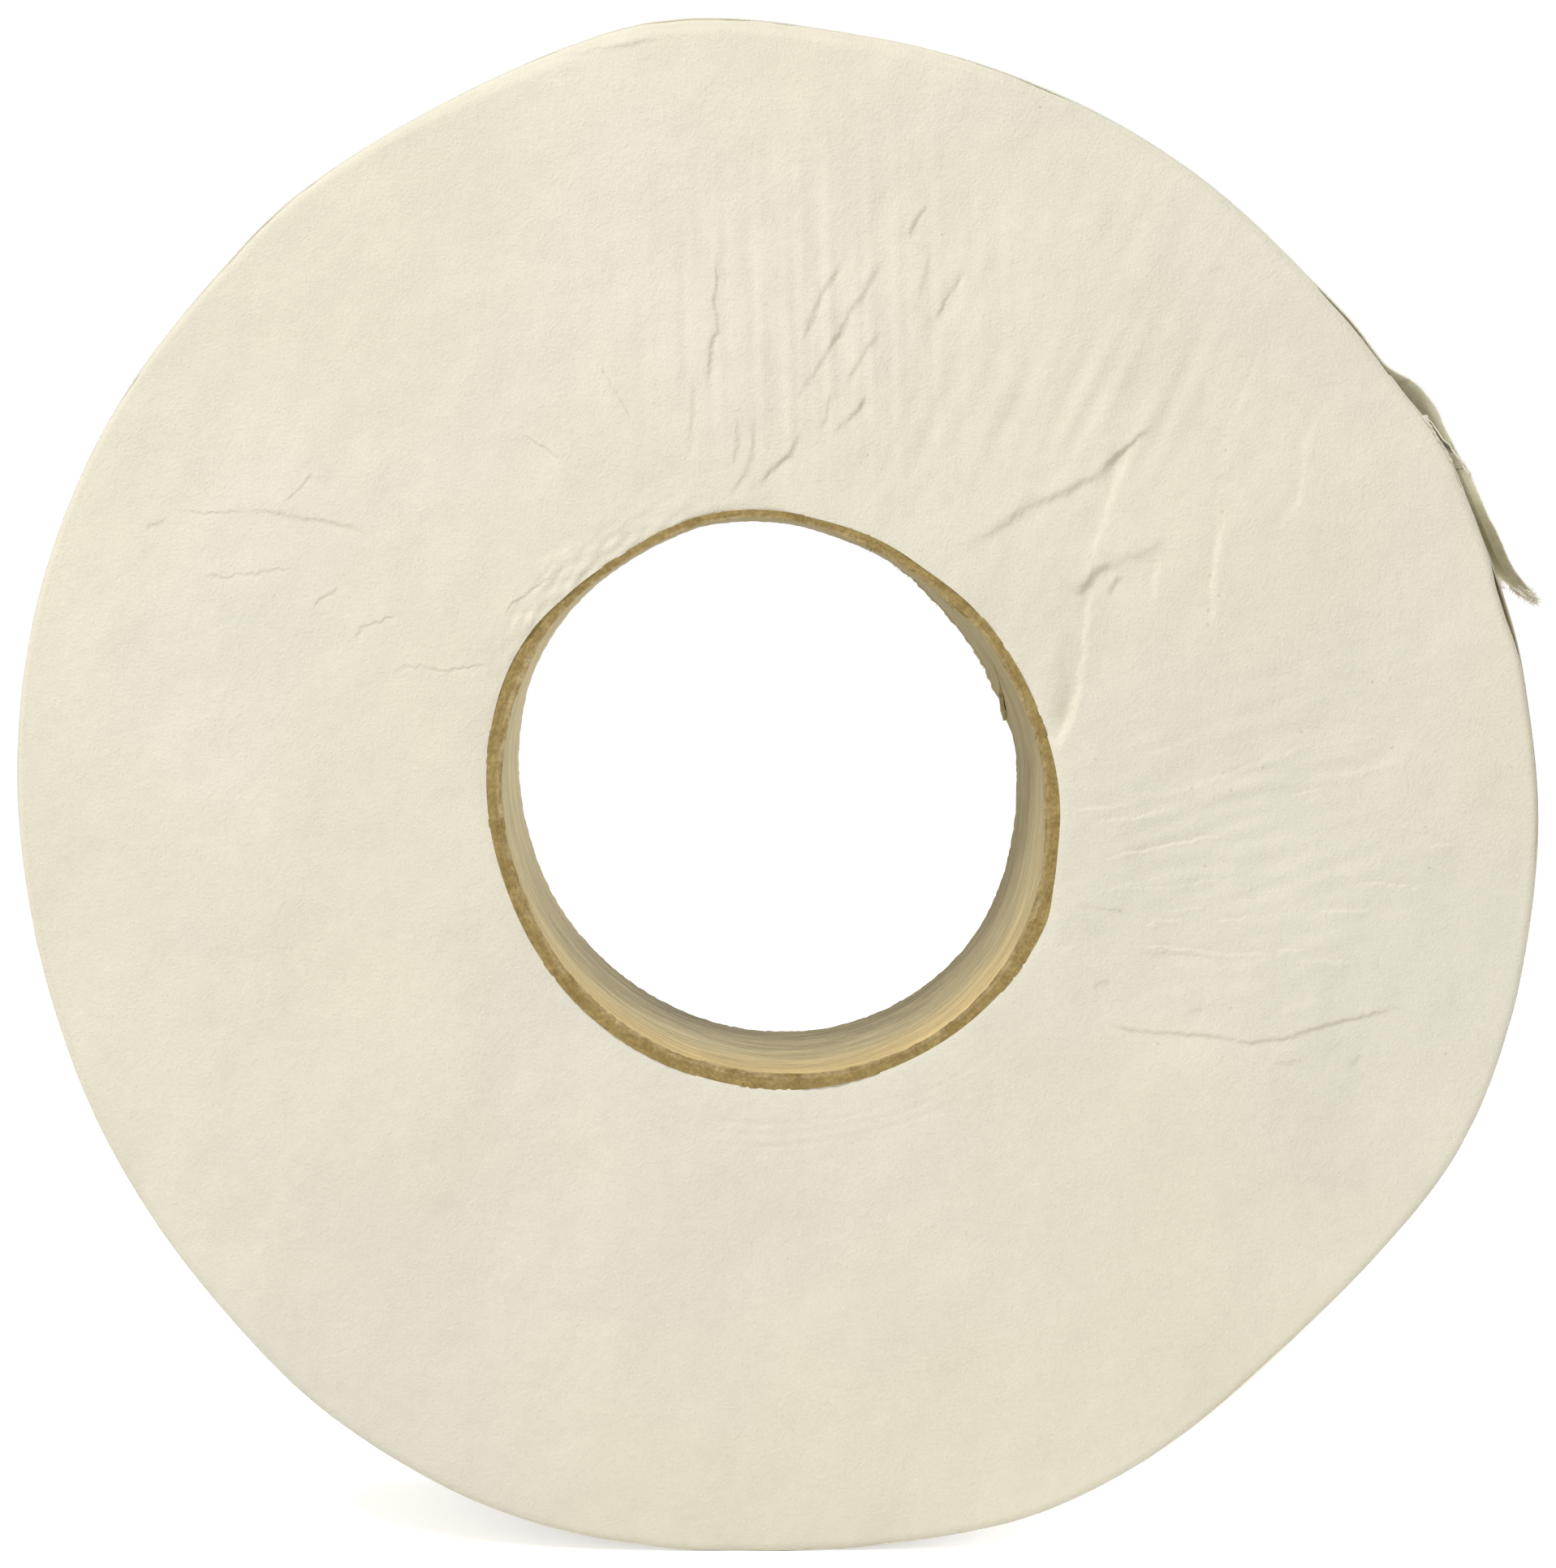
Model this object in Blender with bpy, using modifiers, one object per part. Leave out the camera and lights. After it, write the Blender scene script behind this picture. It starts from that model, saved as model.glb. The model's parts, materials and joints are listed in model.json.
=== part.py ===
"""Roll of bare paper tape on a board core, standing on its edge, with the torn end lifting off.

Metres, +Z up. The roll's axis runs along Y, the face that is looked at points to -Y, and the origin
is on the floor under the axis, halfway across the tape. Angles are in degrees, anticlockwise from +X
as seen from the front.
"""

import math

import bmesh
import bpy
from mathutils import Matrix, Vector

# The paper strip
TAPE_WIDTH = 0.0524
PAPER = 0.0002
LAYER_GAP = 0.00045
SEAT = 0.0003

# The board core: three plies, each rolled once with a slanting seam, pressed out of round together
CORE_BORE = 0.0762
PLY = 0.0005
GLUE_LINE = 0.00025
SEAM_GAP = 0.0006
SEAM_TWIST = -33.0
LINER_SEAM = 48.0
MIDDLE_SEAM = 168.0
OUTER_SEAM = 288.0
CORE_SQUASH = 0.00115
SQUASH_ANGLE = 135.0

# The roll: its mean radius, how far it has settled flat, and how much it bulges by angle
ROLL_RADIUS = 0.105
SETTLED = 0.00045
BULGES = (
    (0.0, 0.00090),
    (10.0, 0.00020),
    (22.0, -0.00080),
    (29.0, -0.00060),
    (36.0, -0.00140),
    (45.0, -0.00185),
    (55.0, -0.00100),
    (70.0, 0.00000),
    (80.0, 0.00075),
    (86.0, 0.00130),
    (92.0, 0.00260),
    (99.0, 0.00340),
    (106.0, 0.00240),
    (113.0, 0.00135),
    (121.0, 0.00090),
    (130.0, 0.00100),
    (137.0, 0.00025),
    (150.0, 0.00040),
    (168.0, 0.00000),
    (180.0, -0.00065),
    (192.0, -0.00125),
    (208.0, -0.00120),
    (222.0, -0.00095),
    (235.0, 0.00025),
    (250.0, 0.00125),
    (262.0, 0.00060),
    (272.0, 0.00020),
    (281.0, 0.00055),
    (290.0, 0.00140),
    (299.0, 0.00085),
    (312.0, -0.00055),
    (320.0, -0.00015),
    (331.0, 0.00160),
    (338.0, 0.00195),
    (350.0, 0.00130),
)

# The loose outer turn, and the first turn that grips the core
OUTER_TURNS = 1.15
FIRST_TURNS = 1.15
FIRST_END = 250.0

# The torn tail: where it leaves the roll, its lift by the angle past that line, and its folds
TAIL_ROOT = 36.0
TAIL_LIFTS = (
    (0.0, 0.0),
    (1.0, 0.00035),
    (3.0, 0.00175),
    (4.7, 0.00190),
    (8.5, 0.00155),
    (14.0, 0.00175),
    (18.0, 0.00270),
    (21.2, 0.00460),
)
TAIL_BEND = 4.7
TAIL_CURL = 15.5
TAIL_END = 21.2
HINGE_GAP = 0.0003

# How finely curves are cut
TURN_STEPS = 120
CORE_STEPS = 72
SEAM_ROWS = 3
SEGMENT_STEPS = 8
SHARP_ANGLE = 30.0

# Sizes that follow from those above
PITCH = PAPER + LAYER_GAP
AXIS_HEIGHT = ROLL_RADIUS - SETTLED
CORE_RADIUS = CORE_BORE / 2 + 3 * PLY + 2 * GLUE_LINE
FIRST_RADIUS = CORE_RADIUS + SEAT + PAPER / 2
BODY_BORE = FIRST_RADIUS + PITCH * FIRST_TURNS + PAPER / 2 + SEAT
BODY_DEPTH = PAPER + PITCH * OUTER_TURNS + SEAT
AXIS = Vector((0.0, 0.0, AXIS_HEIGHT))
FRONT = Vector((0.0, -TAPE_WIDTH / 2, 0.0))
SQUASH = CORE_SQUASH / CORE_RADIUS


def clear_scene():
    for item in list(bpy.data.objects):
        bpy.data.objects.remove(item, do_unlink=True)


def new_collection(name):
    collection = bpy.data.collections.new(name)
    bpy.context.scene.collection.children.link(collection)
    return collection


def paper_or_board(name, colour, roughness):
    material = bpy.data.materials.new(name)
    material.use_nodes = True
    shader = material.node_tree.nodes["Principled BSDF"]
    shader.inputs["Base Color"].default_value = (*colour, 1.0)
    shader.inputs["Roughness"].default_value = roughness
    shader.inputs["Metallic"].default_value = 0.0
    return material


def smooth(knots, at):
    """Value at a place on the smooth curve through (place, value) knots."""
    slopes = [0.0] * len(knots)
    for i in range(1, len(knots) - 1):
        run = knots[i + 1][0] - knots[i - 1][0]
        slopes[i] = (knots[i + 1][1] - knots[i - 1][1]) / run
    for i in range(len(knots) - 1):
        (x0, y0), (x1, y1) = knots[i], knots[i + 1]
        if at <= x1:
            break
    run = x1 - x0
    t = min(max((at - x0) / run, 0.0), 1.0)
    rise = y0 * (1 + 2 * t) * (1 - t) ** 2 + y1 * t * t * (3 - 2 * t)
    return rise + run * t * (1 - t) * (slopes[i] * (1 - t) - slopes[i + 1] * t)


def outline(angle):
    """Radius of the roll's outer edge before it settles flat."""
    before = [(place - 360.0, bulge) for place, bulge in BULGES[-2:]]
    after = [(place + 360.0, bulge) for place, bulge in BULGES[:2]]
    return ROLL_RADIUS + smooth([*before, *BULGES, *after], angle % 360.0)


def settled(radius, angle, height):
    """The radius, cut back to the flat that lies this high over the floor."""
    drop = -math.sin(math.radians(angle))
    if drop <= 0.0:
        return radius
    return min(radius, (AXIS_HEIGHT - height) / drop)


def polar(radius, angle):
    """Point in the plane of the roll's middle."""
    turned = math.radians(angle)
    return AXIS + Vector((radius * math.cos(turned), 0.0, radius * math.sin(turned)))


def squashed():
    """The matrix that presses the core and what lies on it out of round."""
    to_long_side = Matrix.Rotation(math.radians(SQUASH_ANGLE), 4, "Y")
    stretch = Matrix.Diagonal((1 + SQUASH, 1.0, 1 - SQUASH, 1.0))
    about_axis = to_long_side.inverted() @ stretch @ to_long_side
    return Matrix.Translation(AXIS) @ about_axis @ Matrix.Translation(-AXIS)


def outer_path():
    """Middle of the loose outer turn, from its inner end to the line where the tail lifts off."""
    count = round(TURN_STEPS * OUTER_TURNS)
    half_gap = math.degrees(HINGE_GAP / 2 / ROLL_RADIUS)
    points = []
    for step in range(count + 1):
        back = OUTER_TURNS * (1 - step / count)
        angle = TAIL_ROOT + half_gap + 360.0 * back
        radius = outline(angle) - PAPER / 2 - PITCH * back
        points.append(polar(settled(radius, angle, PAPER / 2), angle))
    return points


def first_path():
    """Middle of the turn that grips the core, from the strip's inner end outwards."""
    count = round(TURN_STEPS * FIRST_TURNS)
    press = squashed()
    points = []
    for step in range(count + 1):
        wound = FIRST_TURNS * step / count
        point = polar(FIRST_RADIUS + PITCH * wound, FIRST_END - 360.0 * wound)
        points.append(press @ point)
    return points


def tail_point(past):
    """Middle of the tail at this angle past the line where it lifts off."""
    angle = TAIL_ROOT - past
    return polar(outline(angle) - PAPER / 2 + smooth(TAIL_LIFTS, past), angle)


def tail_path(start, end):
    """Middle of one segment of the tail, short of its folds by half the gap."""
    half_gap = math.degrees(HINGE_GAP / 2 / ROLL_RADIUS)
    first = start + half_gap
    last = end - half_gap
    places = [first + (last - first) * i / SEGMENT_STEPS for i in range(SEGMENT_STEPS + 1)]
    return [tail_point(past) for past in places]


def least_gap(path):
    """Least air between two turns of a wound strip, from the points on its middle."""
    apart = TURN_STEPS // 2
    nearest = min(
        (point - other).length
        for i, point in enumerate(path)
        for other in path[i + apart:]
    )
    return nearest - PAPER


def add_pivot(collection, name, place, parent=None):
    pivot = bpy.data.objects.new(name, None)
    pivot.empty_display_size = TAPE_WIDTH / 2
    collection.objects.link(pivot)
    pivot.location = place
    if parent:
        pivot.parent = parent
        pivot.location = place - parent.matrix_world.translation
    bpy.context.view_layer.update()
    return pivot


def add_sheet(collection, name, bm, thickness, material, pivot):
    """A sheet of paper or board: an open surface, given its thickness about its middle."""
    bmesh.ops.translate(bm, verts=bm.verts, vec=-pivot.matrix_world.translation)
    bmesh.ops.recalc_face_normals(bm, faces=bm.faces)
    mesh = bpy.data.meshes.new(name)
    bm.to_mesh(mesh)
    bm.free()
    mesh.shade_smooth()
    mesh.set_sharp_from_angle(angle=math.radians(SHARP_ANGLE))
    mesh.materials.append(material)
    sheet = bpy.data.objects.new(name, mesh)
    collection.objects.link(sheet)
    sheet.parent = pivot
    solidify = sheet.modifiers.new("Thickness", "SOLIDIFY")
    solidify.thickness = thickness
    solidify.offset = 0.0
    solidify.use_even_offset = True
    return sheet


def add_strip(collection, name, path, material, pivot):
    """A length of the tape along a path, square across its width."""
    bm = bmesh.new()
    verts = [bm.verts.new(point + FRONT) for point in path]
    edges = [bm.edges.new(pair) for pair in zip(verts, verts[1:])]
    made = bmesh.ops.extrude_edge_only(bm, edges=edges)
    far = [item for item in made["geom"] if isinstance(item, bmesh.types.BMVert)]
    bmesh.ops.translate(bm, verts=far, vec=(0.0, TAPE_WIDTH, 0.0))
    return add_sheet(collection, name, bm, PAPER, material, pivot)


def add_ply(collection, name, order, seam, material, pivot):
    """One ply of the core, counted from the bore, whose edges meet along a slanting seam."""
    radius = CORE_BORE / 2 + PLY / 2 + order * (PLY + GLUE_LINE)
    sweep = 2 * math.pi - SEAM_GAP / radius
    turn_row = Matrix.Rotation(-math.radians(SEAM_TWIST / SEAM_ROWS), 3, "Y")
    bm = bmesh.new()
    bm.verts.new(polar(radius, seam) + FRONT)
    bmesh.ops.spin(
        bm, geom=bm.verts[:], cent=AXIS, axis=(0.0, -1.0, 0.0), angle=sweep, steps=CORE_STEPS
    )
    edges = bm.edges[:]
    for _ in range(SEAM_ROWS):
        made = bmesh.ops.extrude_edge_only(bm, edges=edges)
        row = [item for item in made["geom"] if isinstance(item, bmesh.types.BMVert)]
        held = set(row)
        edges = [
            item
            for item in made["geom"]
            if isinstance(item, bmesh.types.BMEdge) and held.issuperset(item.verts)
        ]
        bmesh.ops.rotate(bm, verts=row, cent=AXIS, matrix=turn_row)
        bmesh.ops.translate(bm, verts=row, vec=(0.0, TAPE_WIDTH / SEAM_ROWS, 0.0))
    bmesh.ops.transform(bm, matrix=squashed(), verts=bm.verts)
    return add_sheet(collection, name, bm, PLY, material, pivot)


def add_closed_spline(curve, points):
    spline = curve.splines.new("POLY")
    spline.points.add(len(points) - 1)
    for knot, point in zip(spline.points, points):
        knot.co = (point.x, point.z - AXIS_HEIGHT, 0.0, 1.0)
    spline.use_cyclic_u = True


def add_wound_body(collection, name, material, pivot):
    """The body of the roll: the settled outline, less the turns modelled by themselves."""
    curve = bpy.data.curves.new(name, "CURVE")
    curve.dimensions = "2D"
    curve.fill_mode = "BOTH"
    curve.extrude = TAPE_WIDTH / 2
    press = squashed()
    outer = []
    bore = []
    for step in range(TURN_STEPS):
        angle = 360.0 * step / TURN_STEPS
        radius = outline(angle) - BODY_DEPTH
        outer.append(polar(settled(radius, angle, PAPER + SEAT), angle))
        bore.append(press @ polar(BODY_BORE, angle))
    add_closed_spline(curve, outer)
    add_closed_spline(curve, bore)
    curve.materials.append(material)
    body = bpy.data.objects.new(name, curve)
    collection.objects.link(body)
    body.parent = pivot
    body.rotation_euler = (math.radians(90.0), 0.0, 0.0)
    return body


def build():
    clear_scene()
    roll = new_collection("paper_tape_roll")

    liner_board = paper_or_board("liner_board", (0.46, 0.42, 0.28), 0.85)
    kraft_board = paper_or_board("kraft_board", (0.33, 0.24, 0.12), 0.9)
    cream_paper = paper_or_board("cream_paper", (0.78, 0.73, 0.60), 0.9)
    loose_paper = paper_or_board("loose_paper", (0.72, 0.68, 0.55), 0.9)

    axis = add_pivot(roll, "roll_axis", AXIS)
    add_ply(roll, "core_liner_ply", 0, LINER_SEAM, liner_board, axis)
    add_ply(roll, "core_middle_ply", 1, MIDDLE_SEAM, kraft_board, axis)
    add_ply(roll, "core_outer_ply", 2, OUTER_SEAM, kraft_board, axis)
    add_strip(roll, "first_turn", first_path(), cream_paper, axis)
    add_wound_body(roll, "wound_tape", cream_paper, axis)
    add_strip(roll, "outer_turn", outer_path(), loose_paper, axis)

    pivot = axis
    folds = (0.0, TAIL_BEND, TAIL_CURL, TAIL_END)
    for name, start, end in zip(("tail_root", "tail_flap", "tail_tip"), folds, folds[1:]):
        pivot = add_pivot(roll, name + "_fold", tail_point(start), pivot)
        add_strip(roll, name, tail_path(start, end), loose_paper, pivot)
        print(name, "folds about", [round(x, 6) for x in tail_point(start)])

    print("least gap in outer_turn, mm:", round(least_gap(outer_path()) * 1000, 3))
    print("least gap in first_turn, mm:", round(least_gap(first_path()) * 1000, 3))


build()
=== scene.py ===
"""Looks of a roll of bare paper tape on a board core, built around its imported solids.

Metres, +Z up. The roll's axis runs along Y and the face that is looked at points to -Y. Places on the
face are in millimetres right of the axis and above it, seen from the front, and angles are in degrees,
anticlockwise from +X as seen from the front.
"""

import json
import math
from collections import namedtuple

import bmesh
import bpy
import numpy as np
from bpy.props import FloatProperty, FloatVectorProperty, PointerProperty
from mathutils import Matrix, Vector


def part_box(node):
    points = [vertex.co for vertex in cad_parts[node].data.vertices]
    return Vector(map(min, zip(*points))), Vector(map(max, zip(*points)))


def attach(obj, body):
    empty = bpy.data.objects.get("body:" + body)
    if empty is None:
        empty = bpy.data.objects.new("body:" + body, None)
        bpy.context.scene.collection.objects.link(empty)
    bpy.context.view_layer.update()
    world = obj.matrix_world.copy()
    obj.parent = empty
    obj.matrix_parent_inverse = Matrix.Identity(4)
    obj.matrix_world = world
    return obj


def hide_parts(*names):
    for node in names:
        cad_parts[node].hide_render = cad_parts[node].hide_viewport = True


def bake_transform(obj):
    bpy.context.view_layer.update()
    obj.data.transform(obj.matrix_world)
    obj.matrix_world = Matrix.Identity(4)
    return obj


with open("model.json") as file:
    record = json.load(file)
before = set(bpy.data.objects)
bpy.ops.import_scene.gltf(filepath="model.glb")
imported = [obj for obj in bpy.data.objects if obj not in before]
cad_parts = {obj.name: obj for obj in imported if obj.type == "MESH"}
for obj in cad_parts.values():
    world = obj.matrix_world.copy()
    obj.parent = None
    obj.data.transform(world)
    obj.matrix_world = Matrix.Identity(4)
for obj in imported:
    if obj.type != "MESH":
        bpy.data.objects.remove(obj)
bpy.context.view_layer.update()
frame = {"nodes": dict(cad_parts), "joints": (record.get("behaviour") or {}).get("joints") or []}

bl_info = {
    "name": "Paper Tape Roll",
    "version": (1, 0, 0),
    "blender": (4, 5, 0),
    "location": "View3D > Sidebar > Tape Roll",
    "description": "Builds the paper, the board core and the torn tail of a roll of bare paper tape",
    "category": "Object",
}

MM = 0.001

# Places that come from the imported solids
LOW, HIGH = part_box("wound_tape")
FRONT = LOW.y
WIDTH = HIGH.y - FRONT
AXIS = sum(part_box("core_liner_ply"), Vector()) / 2
HINGES = {joint["name"]: Vector(joint["pos_m"]) for joint in frame["joints"]}
TAIL_NODES = ("tail_root", "tail_flap", "tail_tip")

# Kinds of fold in the front face: how far it steps down there, in how much width, the share of that
# which it makes up after the line, in what length after it and before it, how far the step lies from
# the line, in millimetres, and the dirt and painted shade on the step and the painted shade on the side
# before it
Fold = namedtuple("Fold", "step width share after before shift dirt gloom")
FOLD_KINDS = {
    "crease": Fold(0.32, 0.42, 0.6, 1.4, 4.0, 0.0, 1.5, 0.0),
    "crinkle": Fold(0.22, 0.22, 0.5, 0.6, 1.2, 0.0, 0.9, 0.0),
    "hairline": Fold(0.10, 0.20, 0.5, 0.6, 1.5, 0.0, 2.0, 0.0),
    "hollow": Fold(0.50, 0.85, 0.5, 2.2, 4.5, 0.0, 1.3, 0.0),
    "soft": Fold(0.28, 1.10, 0.5, 2.5, 4.5, 0.0, 0.5, 0.0),
    "pleat": Fold(-0.20, 0.24, 0.5, 0.8, 1.0, 0.0, 0.0, 0.6),
    "ridge": Fold(-0.50, 0.55, 0.35, 2.5, 3.0, 0.9, 0.0, 0.5),
    # Stains, and broad painted shade where the face lies in shadow
    "stain_and_shade": Fold(0.0, 2.00, 0.5, 1.0, 1.0, 0.0, 0.9, 0.0),
}
# Kinds that need no finer mesh, and the share of a fold's length over which it fades at each end
BROAD_KINDS = ("soft", "stain_and_shade")
FOLD_ENDS = 0.24
# How the folds wander off their lines, as height, length and seed, and how uneven their strength is, as
# middle, height, length and seed, with its limits
FOLD_WANDER = ((0.07, 5.0, 31), (0.05, 1.7, 32))
CRINKLE_WANDER = 1.7
FOLD_UNEVEN = (1.1, 0.16, 6.0, 33)
UNEVEN_LIMITS = (0.6, 1.5)
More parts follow.
